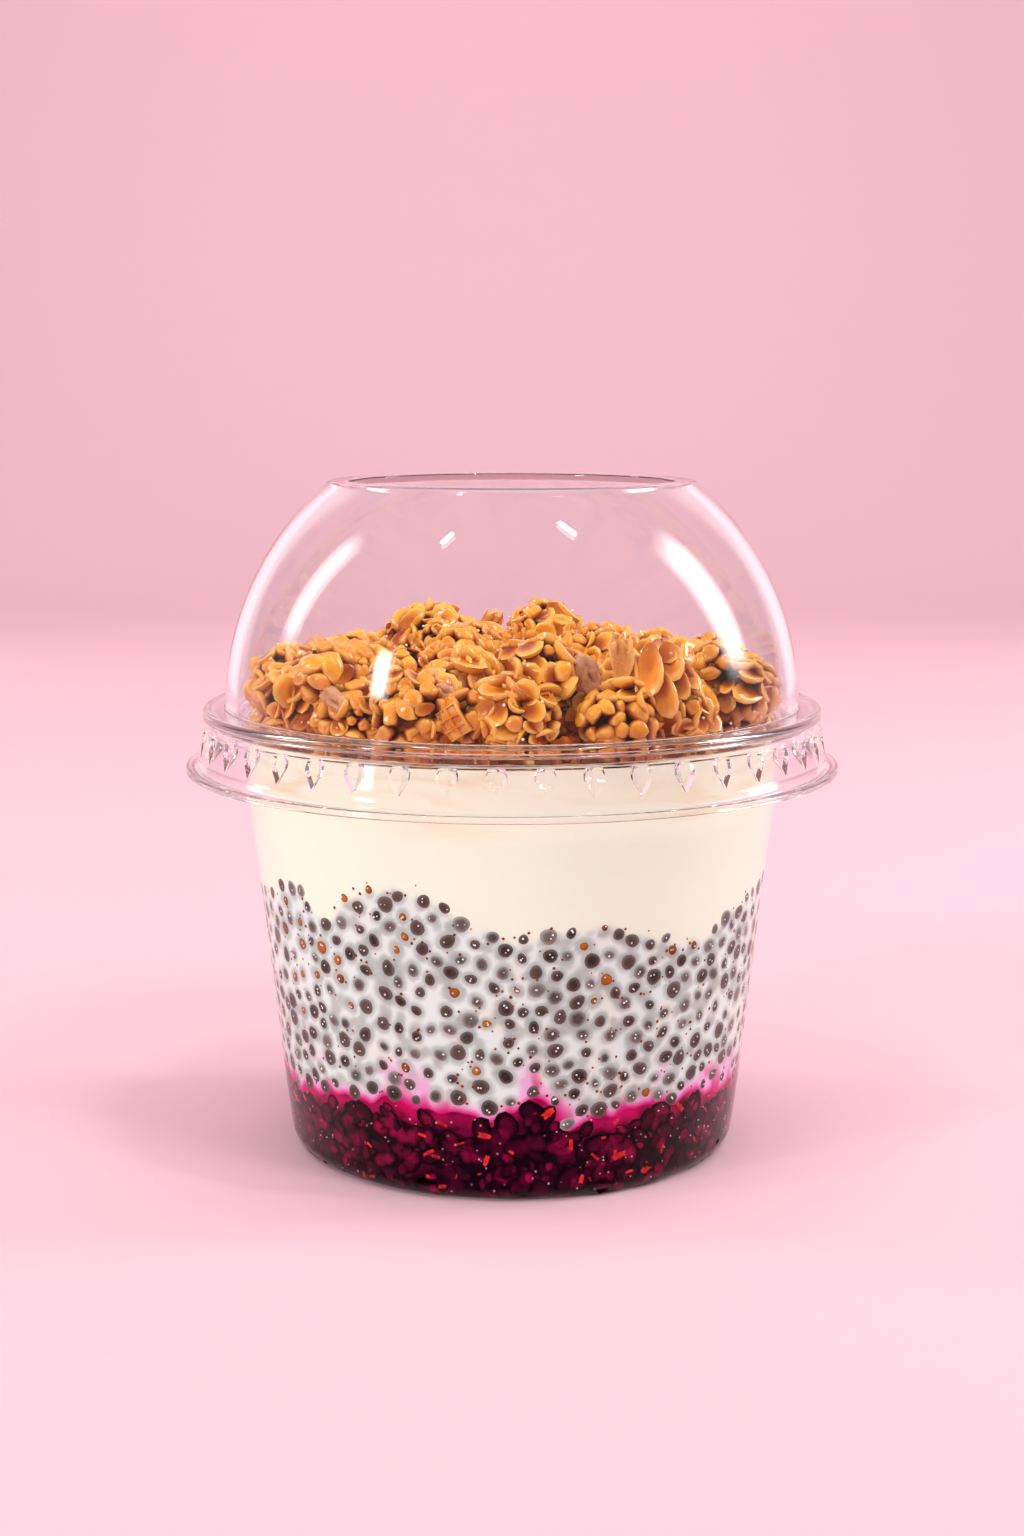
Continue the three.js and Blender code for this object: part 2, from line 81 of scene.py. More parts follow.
Colour = tuple[float, float, float, float]
Pair = tuple[float, float]
Triple = tuple[float, float, float]
Shape = bmesh.types.BMesh

# The Mix node's sockets for colours, by number, because those for numbers have the same names.
MIX_START, MIX_END, MIX_RESULT = 6, 7, 2


# --- Measures ---


def around(radius: float, azimuth: float, z: float) -> Vector:
    """The point at a radius, an azimuth in radians and a height."""
    return Vector((radius * math.sin(azimuth), -radius * math.cos(azimuth), z))


def azimuth_of(point: Vector) -> float:
    """The azimuth of a point, in radians from -pi to pi."""
    return math.atan2(point.x, -point.y)


def lerp(start: float, end: float, share: float) -> float:
    """The number a share of the way from start to end."""
    return start + (end - start) * share


def smooth_share(low: float, high: float, value: float) -> float:
    """How far value is from low to high, from 0 to 1, easing in and out."""
    share = min(max((value - low) / (high - low), 0.0), 1.0)
    return share * share * (3 - 2 * share)


def shade(red: int, green: int, blue: int) -> Colour:
    """A colour as the eye reads it on a screen, 0 to 255, as the linear colour that a shader takes."""

    def linear(level: int) -> float:
        """One channel without the screen's curve."""
        value = level / 255
        return value / 12.92 if value <= 0.04045 else ((value + 0.055) / 1.055) ** 2.4

    return (linear(red), linear(green), linear(blue), 1.0)


class Dice:
    """Draws that come out the same on every run."""

    def __init__(self, seed: int) -> None:
        """Starts the row of draws that belongs to a seed."""
        self.state = seed

    def throw(self) -> float:
        """The next draw, from 0 to 1."""
        self.state = (self.state * 1664525 + 1013904223) % 2**32
        return self.state / 2**32

    def between(self, low: float, high: float) -> float:
        """A draw from low to high."""
        return low + (high - low) * self.throw()

    def stray(self, reach: float) -> float:
        """A draw that is as likely below nought as above."""
        return self.between(-reach, reach)


# --- Shader maths ---


class Term:
    """What a socket gives, for shader maths in Python's own operators."""

    def __init__(self, nodes: "Nodes", socket: bpy.types.NodeSocket) -> None:
        """Keeps the socket and the nodes that it is one of."""
        self.nodes = nodes
        self.socket = socket

    def maths(self, operation: str, *values: "Term | float") -> "Term":
        """One Math node on these values."""
        return self.nodes.add("ShaderNodeMath", {"operation": operation}, dict(enumerate(values)))

    def __add__(self, other: "Term | float") -> "Term":
        """self + other."""
        return self.maths("ADD", self, other)

    __radd__ = __add__

    def __sub__(self, other: "Term | float") -> "Term":
        """self - other."""
        return self.maths("SUBTRACT", self, other)

    def __rsub__(self, other: "Term | float") -> "Term":
        """other - self."""
        return self.maths("SUBTRACT", other, self)

    def __mul__(self, other: "Term | float") -> "Term":
        """self * other."""
        return self.maths("MULTIPLY", self, other)

    __rmul__ = __mul__

    def between(self, low: float, high: float) -> "Term":
        """How far the value is from low to high, from 0 to 1, easing in and out."""
        limits = {"From Min": low, "From Max": high}
        settings = {"interpolation_type": "SMOOTHSTEP"}
        return self.nodes.add("ShaderNodeMapRange", settings, {"Value": self, **limits})

    def mix(self, start: "Term | Colour", end: "Term | Colour") -> "Term":
        """The colour a share self of the way from start to end."""
        settings = {"data_type": "RGBA"}
        sockets = {"Factor": self, MIX_START: start, MIX_END: end}
        return self.nodes.add("ShaderNodeMix", settings, sockets, output=MIX_RESULT)


class Nodes:
    """The nodes of a material, a lamp or the sky, with a method for each thing that makes up its look."""

    def __init__(self, owner: bpy.types.Material | bpy.types.Light | bpy.types.World) -> None:
        """Empties the owner's tree but for its output."""
        owner.use_nodes = True
        self.tree = owner.node_tree
        self.tree.nodes.clear()
        outputs = {bpy.types.Material: "Material", bpy.types.Light: "Light", bpy.types.World: "World"}
        kind = next(name for owned, name in outputs.items() if isinstance(owner, owned))
        self.output = self.tree.nodes.new("ShaderNodeOutput" + kind)

    def add(
        self, kind: str, settings: dict | None = None, sockets: dict | None = None, output: int | str = 0
    ) -> Term:
        """Adds a node.

        Args:
            kind: the node's type.
            settings: its properties, which are set first.
            sockets: a value or a Term for each input, by name or number.
            output: the name or number of the output that the Term stands for.

        Returns:
            The Term of that output.
        """
        node = self.tree.nodes.new(kind)
        for name, value in (settings or {}).items():
            setattr(node, name, value)
        for name, value in (sockets or {}).items():
            if isinstance(value, Term):
                self.tree.links.new(value.socket, node.inputs[name])
            else:
                node.inputs[name].default_value = value
        return Term(self, node.outputs[output])

    def place(self) -> Term:
        """The point on the object, in millimetres."""
        point = self.add("ShaderNodeTexCoord", output="Object")
        return self.add("ShaderNodeVectorMath", {"operation": "SCALE"}, {0: point, "Scale": 1 / MM})

    def noise(
        self, size: float, detail: float = 2, warp: float = 0, stretch: Sequence[float] = (1, 1, 1)
    ) -> Term:
        """Cloudy noise from 0 to 1.

        Args:
            size: the width of its patches in millimetres.
            detail: how many finer layers it has.
            warp: how much it is twisted.
            stretch: how much finer it is along each axis.

        Returns:
            The noise as a Term.
        """
        mapping = {"Vector": self.place(), "Scale": stretch}
        point = self.add("ShaderNodeMapping", {"vector_type": "POINT"}, mapping)
        sockets = {"Vector": point, "Scale": 1 / size, "Detail": detail, "Distortion": warp}
        return self.add("ShaderNodeTexNoise", {}, sockets)

    def cells(self, size: float, feature: str = "F1") -> Term:
        """The distance to the nearest cell's middle, or to its edge, in cells of a size in millimetres."""
        sockets = {"Vector": self.place(), "Scale": 1 / size}
        return self.add("ShaderNodeTexVoronoi", {"feature": feature}, sockets)

    def mark(self, name: str) -> Term:
        """A number that the mesh holds at each point."""
        return self.add("ShaderNodeAttribute", {"attribute_name": name}, output="Fac")

    def relief(self, height: Term, depth: float) -> Term:
        """Bumps of a depth in millimetres where height goes from 0 to 1."""
        return self.add("ShaderNodeBump", {}, {"Height": height, "Distance": depth * MM, "Strength": 1.0})

    def surface(self, **sockets: "Term | float | Colour") -> Term:
        """A Principled shader. A socket's name is written with _ for its spaces."""
        named = {name.replace("_", " "): value for name, value in sockets.items()}
        return self.add("ShaderNodeBsdfPrincipled", {}, named)

    def show(self, shader: Term) -> None:
        """Makes the shader what the owner shows."""
        self.tree.links.new(shader.socket, self.output.inputs["Surface"])

    def show_surface(self, **sockets: "Term | float | Colour") -> None:
        """Makes a Principled shader what the owner shows."""
        self.show(self.surface(**sockets))


# --- Finishes ---


@dataclass(frozen=True)
class Finish(ABC):
    """What a surface is made of and how that looks.

    Attributes:
        name: the material's name.
    """

    name: str

    def material(self) -> bpy.types.Material:
        """The finish as a material, made the first time that it is asked for."""
        made = bpy.data.materials.get(self.name)
        if made is None:
            made = bpy.data.materials.new(self.name)
            self.paint(Nodes(made))
        return made

    @abstractmethod
    def paint(self, nodes: Nodes) -> None:
        """Builds the material's nodes."""


@dataclass(frozen=True)
class ClearPlastic(Finish):
    """Clear glossy plastic. Lamps and what the food throws back pass it straight, so the food is lit evenly.

    Attributes:
        tint: the colour that the plastic gives to what is seen through it.
        haze: its roughness where it has been handled.
        ior: how strongly it bends light.
        shine: how strongly it mirrors head-on, as a share of what its bending of light would give.
        turns: how often light is bent or mirrored before it goes straight on, so none is caught in the wall.
        dimmed: the colour that each face gives to light which has gone straight on.
    """

    tint: Colour = shade(253, 254, 255)
    haze: float = 0.03
    ior: float = 1.54
    shine: float = 1.0
    turns: int = 12
    dimmed: Colour = shade(190, 172, 172)

    def paint(self, nodes: Nodes) -> None:
        """Builds the material's nodes."""
        roughness = nodes.noise(9, detail=3).between(0.45, 0.8) * self.haze
        ripple = nodes.relief(nodes.noise(14, detail=1), 0.02)
        clear = nodes.surface(
            Base_Color=self.tint,
            Roughness=roughness,
            IOR=self.ior,
            Specular_Tint=(self.shine, self.shine, self.shine, 1.0),
            Transmission_Weight=1.0,
            Normal=ripple,
        )
        straight_on = nodes.add("ShaderNodeBsdfTransparent", {}, {"Color": self.dimmed})
        turns = nodes.add("ShaderNodeLightPath", output="Ray Depth")
        caught = turns.maths("GREATER_THAN", turns, self.turns)
        clear = nodes.add("ShaderNodeMixShader", {}, {0: caught, 1: clear, 2: straight_on})
        open_way = nodes.add("ShaderNodeBsdfTransparent", {}, {"Color": shade(248, 249, 250)})
        for ray in ("Is Shadow Ray", "Is Diffuse Ray"):
            share = nodes.add("ShaderNodeLightPath", output=ray)
            clear = nodes.add("ShaderNodeMixShader", {}, {0: share, 1: clear, 2: open_way})
        nodes.show(clear)


@dataclass(frozen=True)
class BerryJelly(Finish):
    """Dark wet compote with the soft shapes of crushed fruit in it, and painted magenta highlights along some
    of their edges.
    """

    deep: Colour = shade(14, 0, 5)
    fruit: Colour = shade(60, 0, 26)
    glow: Colour = shade(196, 6, 88)

    def paint(self, nodes: Nodes) -> None:
        """Builds the material's nodes."""
        fruit = nodes.noise(3.4, detail=2, warp=0.6).between(0.42, 0.68)
        # Painted highlights: bright magenta along the edges of some of the fruit's cells.
        rims = nodes.cells(4.2, "DISTANCE_TO_EDGE").between(0.09, 0.0) * nodes.noise(7).between(0.45, 0.62)
        colour = fruit.mix(self.deep, self.fruit)
        colour = (rims * 0.3).mix(colour, self.glow)
        colour = nodes.mark("glow").mix(colour, self.glow)
        nodes.show_surface(
            Base_Color=colour,
            Roughness=0.3 + nodes.noise(2.5) * 0.2,
            Specular_IOR_Level=0.0,
            Normal=nodes.relief(nodes.cells(3.6, "SMOOTH_F1"), 0.35),
        )


@dataclass(frozen=True)
class BerryFlesh(Finish):
    """Lumps of fruit in the compote: clear red-purple in their middles and nearly black at their rims."""

    heart: Colour = shade(48, 0, 20)
    flesh: Colour = shade(150, 6, 62)
    rim: Colour = shade(10, 0, 4)

    def paint(self, nodes: Nodes) -> None:
        """Builds the material's nodes."""
        cloud = nodes.noise(1.6, detail=3)
        tint, rim = nodes.mark("tint"), nodes.mark("rim")
        colour = (tint * tint * (cloud.between(0.3, 0.65) * 0.6 + 0.4)).mix(self.heart, self.flesh)
        colour = rim.between(0.35, 0.85).mix(colour, self.rim)
        nodes.show_surface(
            Base_Color=colour,
            Roughness=0.3 + cloud * 0.2,
            Specular_IOR_Level=0.0,
            Normal=nodes.relief(1 - rim * rim, 0.3),
        )


@dataclass(frozen=True)
class Morsel(Finish):
    """A small thing of one colour that varies from piece to piece, paler or darker at its rim.

    Attributes:
        dark: its darkest colour.
        light: its lightest colour.
        rim: the colour that its rim goes over into.
        rim_share: how much of that colour the rim takes.
        grain: the size of its relief in millimetres.
        depth: the depth of that relief.
        wet: how strong its wet coat is.
        roughness: how rough it is under that coat.
        shine: how strongly it mirrors under that coat. It is nothing for what lies against the clear wall.
    """

    dark: Colour
    light: Colour
    rim: Colour
    rim_share: float = 0.5
    grain: float = 0.5
    depth: float = 0.05
    wet: float = 0.0
    roughness: float = 0.4
    shine: float = 0.0

    def paint(self, nodes: Nodes) -> None:
        """Builds the material's nodes."""
        grain = nodes.noise(self.grain, detail=2)
        colour = (nodes.mark("tint") * 0.75 + grain.between(0.3, 0.75) * 0.25).mix(self.dark, self.light)
        colour = (nodes.mark("rim").between(0.45, 1.0) * self.rim_share).mix(colour, self.rim)
        nodes.show_surface(
            Base_Color=colour,
            Roughness=self.roughness + grain * 0.1,
            Specular_IOR_Level=self.shine,
            Coat_Weight=self.wet,
            Coat_Roughness=0.06,
            Normal=nodes.relief(grain, self.depth),
        )


@dataclass(frozen=True)
class MilkyPudding(Finish):
    """Milky pudding: cool white, grey round the seeds, stained by the compote below and creamy above."""

    milk: Colour = shade(223, 234, 228)
    clear: Colour = shade(154, 161, 155)
    seed: Colour = shade(104, 102, 96)
    warm: Colour = shade(226, 229, 216)
    cream: Colour = shade(236, 242, 219)
    stain: Colour = shade(236, 170, 214)
    juice: Colour = shade(206, 12, 112)

    def paint(self, nodes: Nodes) -> None:
        """Builds the material's nodes."""
        cloud = nodes.noise(5, detail=3)
        colour = cloud.between(0.42, 0.72).mix(self.milk, self.warm)
        colour = (nodes.mark("ghost") * 0.42).mix(colour, self.seed)
        colour = (nodes.mark("gel") * 0.68).mix(colour, self.clear)
        colour = nodes.mark("cream").mix(colour, self.cream)
        colour = nodes.mark("stain").mix(colour, self.stain)
        colour = nodes.mark("juice").mix(colour, self.juice)
        nodes.show_surface(
            Base_Color=colour,
            Roughness=0.4 + cloud * 0.12,
            Specular_IOR_Level=0.0,
            Normal=nodes.relief(nodes.noise(1.3, detail=2), 0.05),
        )


@dataclass(frozen=True)
class IvoryCream(Finish):
    """Smooth ivory cream with faint peach bands where it was poured, painted warmer towards its top to make
    up for the floor's warm light reaching less of it there.
    """

    cream: Colour = shade(237, 243, 220)
    # Painted light: the warmer colour towards the top, making up for the floor's warm light that reaches less
    # of it.
    upper: Colour = shade(247, 240, 214)
    peach: Colour = shade(240, 220, 184)

    def paint(self, nodes: Nodes) -> None:
        """Builds the material's nodes."""
        bands = nodes.noise(9, detail=3, warp=0.8, stretch=(0.5, 0.5, 2.4)).between(0.5, 0.75)
        # Painted light: warmer going up, making up for the floor's warm light that reaches less of the cream
        # there.
        colour = nodes.mark("band").mix(self.cream, self.upper)
        colour = (bands * nodes.mark("band")).mix(colour, self.peach)
        nodes.show_surface(
            Base_Color=colour,
            Roughness=0.4 + bands * 0.1,
            Specular_IOR_Level=0.0,
            Normal=nodes.relief(nodes.noise(6, detail=2), 0.06),
        )


@dataclass(frozen=True)
class BakedGlaze(Finish):
    """Baked crumb under a syrup glaze: golden, with a painted highlight on thin rims, and painted shade, warm
    brown to near black, down in the gaps.
    """

    golden: Colour = shade(255, 174, 34)
    caramel: Colour = shade(218, 110, 8)
    # Painted highlight for the rims.
    pale: Colour = shade(255, 208, 112)
    toasted: Colour = shade(144, 60, 2)
    # The last two are painted shade in the gaps: warm brown, then near black further in.
    warm_shade: Colour = shade(174, 74, 0)
    gap_shade: Colour = shade(80, 24, 0)
    roughness: float = 0.26
    shine: float = 0.12
    syrup: Pair = (0.1, 0.35)

    def paint(self, nodes: Nodes) -> None:
        """Builds the material's nodes."""
        grain = nodes.noise(0.5, detail=3)
        patches = nodes.noise(3.2, detail=2)
        colour = (nodes.mark("tint") * 0.7 + patches.between(0.35, 0.7) * 0.3).mix(self.golden, self.caramel)
        # Painted highlight: paler towards each bit's rim.
        colour = (nodes.mark("rim").between(0.5, 1.0) * 0.45).mix(colour, self.pale)
        colour = (patches.between(0.6, 0.8) * 0.35).mix(colour, self.toasted)
        colour = (grain.between(0.58, 0.75) * 0.12).mix(colour, self.toasted)
        # Painted shade from the depth mark: warm brown, then near black deep in the gaps; the glaze coat
        # thins there as well.
        colour = nodes.mark("depth").between(0.05, 0.6).mix(colour, self.warm_shade)
        colour = nodes.mark("depth").between(0.45, 1.0).mix(colour, self.gap_shade)
        nodes.show_surface(
            Base_Color=colour,
            Roughness=self.roughness + grain * 0.16,
            Specular_IOR_Level=self.shine,
            Coat_Weight=nodes.noise(6, detail=1).between(*self.syrup) * (1 - nodes.mark("depth")),
            Coat_Roughness=0.1,
            Coat_IOR=1.7,
            Normal=nodes.relief(nodes.noise(1.5, detail=2), 0.03),
        )


@dataclass(frozen=True)
class StudioPaper(Finish):
    """The pale matt paper that the bowl stands on."""

    paper: Colour = shade(222, 176, 186)

    def paint(self, nodes: Nodes) -> None:
        """Builds the material's nodes."""
        nodes.show_surface(
            Base_Color=self.paper,
            Roughness=0.9,
            Normal=nodes.relief(nodes.noise(0.8, detail=4), 0.03),
        )


# --- From meshes to pieces ---


def as_mesh(shape: Shape, name: str) -> bpy.types.Mesh:
    """Turns a shape into a mesh and frees the shape."""
    mesh = bpy.data.meshes.new(name)
    shape.to_mesh(mesh)
    shape.free()
    return mesh


def make_piece(
    mesh: bpy.types.Mesh,
    finish: Finish,
    replaces: Sequence[str] = (),
    crease: float = 40,
    flats: bool = False,
) -> bpy.types.Object:
    """Turns a mesh into a piece of the bowl.

    Args:
        mesh: the mesh, in millimetres. Its name becomes the piece's name.
        finish: what its surface is made of.
        replaces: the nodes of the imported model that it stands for.
        crease: edges that turn more sharply than this, in degrees, stay sharp.
        flats: whether its flats are shaded dead flat up to the fillets round them, as clear walls need.

    Returns:
        The piece, riding on the bowl's body.
    """
    mesh.transform(Matrix.Scale(MM, 4))
    mesh.shade_smooth()
    mesh.set_sharp_from_angle(angle=math.radians(crease))
    mesh.materials.append(finish.material())
    piece = bpy.data.objects.new(mesh.name, mesh)
    bpy.context.scene.collection.objects.link(piece)
    if flats:
        evening = piece.modifiers.new("even flats", "WEIGHTED_NORMAL")
        evening.keep_sharp = True
        evening.weight = 100
    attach(piece, BODY)
    if replaces:
        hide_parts(*replaces)
    log.info("%s: %d faces", mesh.name, len(mesh.polygons))
    return piece


def spun(outline: Sequence[Pair], steps: int, start: float = 0.0) -> Shape:
    """Spins an outline of radii and heights round the cup's axis into a closed shape.

    Args:
        outline: the points, from the axis to the axis, or a loop that ends where it starts.
        steps: how many steps the full turn takes, a multiple of the number of wedges.
        start: the azimuth of the first step in radians.

    Returns:
        The shape, with its faces pointing out.
    """
    shape = bmesh.new()
    points = [shape.verts.new(around(radius, start, z)) for radius, z in outline]
    edges = [shape.edges.new(pair) for pair in zip(points, points[1:])]
    turning = {"cent": (0, 0, 0), "axis": (0, 0, 1), "dvec": (0, 0, 0)}
    wedge = FULL_TURN / WEDGES
    bmesh.ops.spin(shape, geom=points + edges, angle=wedge, steps=steps // WEDGES, **turning)
    first = shape.verts[:] + shape.edges[:] + shape.faces[:]
    others = {"angle": FULL_TURN - wedge, "steps": WEDGES - 1, "use_duplicate": True}
    bmesh.ops.spin(shape, geom=first, **others, **turning)
    bmesh.ops.remove_doubles(shape, verts=shape.verts, dist=SAME_POINT)
    bmesh.ops.recalc_face_normals(shape, faces=shape.faces)
    return shape


def rounded(
    corners: Sequence[Triple], steps: int = 4, most: float = 0.48
) -> list[Pair]:
    """An outline with its corners rounded.

    Args:
        corners: radius, height and fillet of each corner. The first and the last stay as they are.
        steps: how many steps a rounded corner has.
        most: the largest share of the way to the next corner that a fillet takes.

    Returns:
        The points of the outline.
    """
    points = [Vector(corner[:2]) for corner in corners]
    outline = [points[0]]
    for before, corner, after, (_, _, fillet) in zip(points, points[1:], points[2:], corners[1:]):
        to_before, to_after = before - corner, after - corner
        reach = min(fillet, most * to_before.length, most * to_after.length)
        if reach <= 0:
            outline.append(corner)
            continue
        start = corner + to_before.normalized() * reach
        end = corner + to_after.normalized() * reach
        for step in range(steps + 1):
            share = step / steps
            outline.append(start.lerp(corner, share).lerp(corner.lerp(end, share), share))
    outline.append(points[-1])
    return [(point.x, point.y) for point in outline]


# --- Cup ---


@dataclass
class Cup:
    """The clear cup: a slightly raised base in a foot ring, a wall that leans out, and a flat rim."""

    wall: float = 0.8
    foot_inner: float = 31.5
    foot_outer: float = 34.4
    base_rise: float = 1.0
    corner_top: float = 2.6
    straight_foot: float = 8
    wall_foot: float = 35.99
    wall_slope: float = 0.1118
    slope_top: float = 53.7
    collar_foot: float = 56.5
    collar_radius: float = 42.3
    rim_radius: float = 47.5
    rim_thickness: float = 1.2
    rim_top: float = 70.1
    steps: int = 264
    finish: Finish = ClearPlastic("cup plastic", shine=0.12)

    def radius(self, z: float) -> float:
        """The wall's outer radius at a height above the rounded lower corner."""
        if z >= self.collar_foot:
            return self.collar_radius
        leaning = self.wall_foot + self.wall_slope * min(z, self.slope_top)
        share = max(z - self.slope_top, 0) / (self.collar_foot - self.slope_top)
        return lerp(leaning, self.collar_radius, share)

    def inner_radius(self, z: float) -> float:
        """The radius of the wall's inner face at a height, round the lower corner too."""
        if z >= self.corner_top:
            return self.radius(z) - self.wall
        foot = self.foot_outer - self.wall / 2
        drop = min((self.corner_top - z) / (self.corner_top - self.wall), 1.0)
        return lerp(foot, self.radius(self.corner_top) - self.wall, math.sqrt(1 - drop * drop))

    def outline(self) -> list[Pair]:
        """The cup's section, from the axis under the base round the rim to the axis over the base."""
        wall, rise, inner = self.wall, self.base_rise, self.foot_inner
        corner = self.radius(self.corner_top)
        slope = self.radius(self.slope_top)
        rim_foot = self.rim_top - self.rim_thickness
        return rounded(
            [
                (0, rise, 0),
                (inner - rise, rise, 0.6),
                (inner, 0, 0.4),
                (self.foot_outer, 0, 1.2),
                (corner - 0.25, self.corner_top - 0.9, 1.6),
                (self.radius(self.straight_foot), self.straight_foot, 0),
                (slope, self.slope_top, 1.5),
                (self.collar_radius, self.collar_foot, 1.5),
                (self.collar_radius, rim_foot, 0.8),
                (self.rim_radius, rim_foot, 0.4),
                (self.rim_radius, self.rim_top, 0.4),
                (self.collar_radius - wall, self.rim_top, 0.9),
                (self.collar_radius - wall, self.collar_foot, 1.5),
                (slope - wall, self.slope_top, 1.5),
                (self.inner_radius(self.straight_foot), self.straight_foot, 0),
                (corner - wall, self.corner_top - 0.6, 1.6),
                (self.foot_outer - wall / 2, wall, 0.8),
                (inner + wall / 2, wall, 0.4),
                (inner + wall / 2 - rise, rise + wall, 0.6),
                (0, rise + wall, 0),
            ]
        )

    def build(self) -> None:
        """Makes the cup."""
        mesh = as_mesh(spun(self.outline(), self.steps), "clear_cup")
        make_piece(mesh, self.finish, ["cup"], crease=50, flats=True)


# --- Lid ---


@dataclass
class Lugs:
    """The dents round the lid's skirt that snap under the cup's rim: a ledge on top, a point at the foot."""

    count: int = 44
    azimuth: float = math.radians(-2.6)
    top: float = 68.3
    foot: float = 64.4
    depth_radius: float = 48.2
    half_width: float = 1.75
    widest: float = 0.68
    top_share: float = 0.72
    tip_share: float = 0.03
    ledge: float = 0.12
    columns: int = 12
    edge_column: int = 2
    rows: int = 5

    def heights(self, lift: float) -> list[float]:
        """The heights of the dents' rows from the top down, the first just over the ledge."""
        top = self.top + lift
        down = [lerp(top, self.foot, row / self.rows) for row in range(self.rows + 1)]
        return [top + self.ledge, *down]

    def narrowing(self, rise: float) -> float:
        """A dent's width at a share of its height, as a share of its widest: a kite with its top cut off."""
        if rise < self.widest:
            return max(rise / self.widest, self.tip_share)
        return lerp(1.0, self.top_share, min((rise - self.widest) / (1 - self.widest), 1.0))

    def moved(self, point: Vector, skin_radius: float, depth: float, lift: float) -> Vector:
        """Where a point of the skirt lies once the dents are pressed in.

        Args:
            point: the point on the plain skirt.
            skin_radius: the radius of the outer or inner skin at the point.
            depth: how deep a dent is at its ledge.
            lift: how much higher than on the outer skin the ledge is.

        Returns:
            The point, drawn in towards its dent's middle line and pressed inwards.
        """
        pitch = FULL_TURN / self.count
        turn = (azimuth_of(point) - self.azimuth) / pitch
        nearest = round(turn)
        column = round((turn - nearest) * self.columns)
        narrowing = self.narrowing((point.z - self.foot) / (self.top + lift - self.foot))
        edge = self.half_width * narrowing
        reach = self.columns / 2 - self.edge_column
        beyond = (abs(column) - self.edge_column) / reach
        half_pitch = skin_radius * pitch / 2
        across = lerp(edge, half_pitch, beyond) if beyond > 0 else edge * abs(column) / self.edge_column
        pressed = depth * narrowing * max(1 - abs(column) / self.edge_column, 0)
        if point.z > self.top + lift + self.ledge / 2 or point.z < self.foot + SAME_HEIGHT:
            pressed = 0.0
        azimuth = self.azimuth + nearest * pitch + math.copysign(across / skin_radius, column)
        return around(skin_radius - pressed, azimuth, point.z)


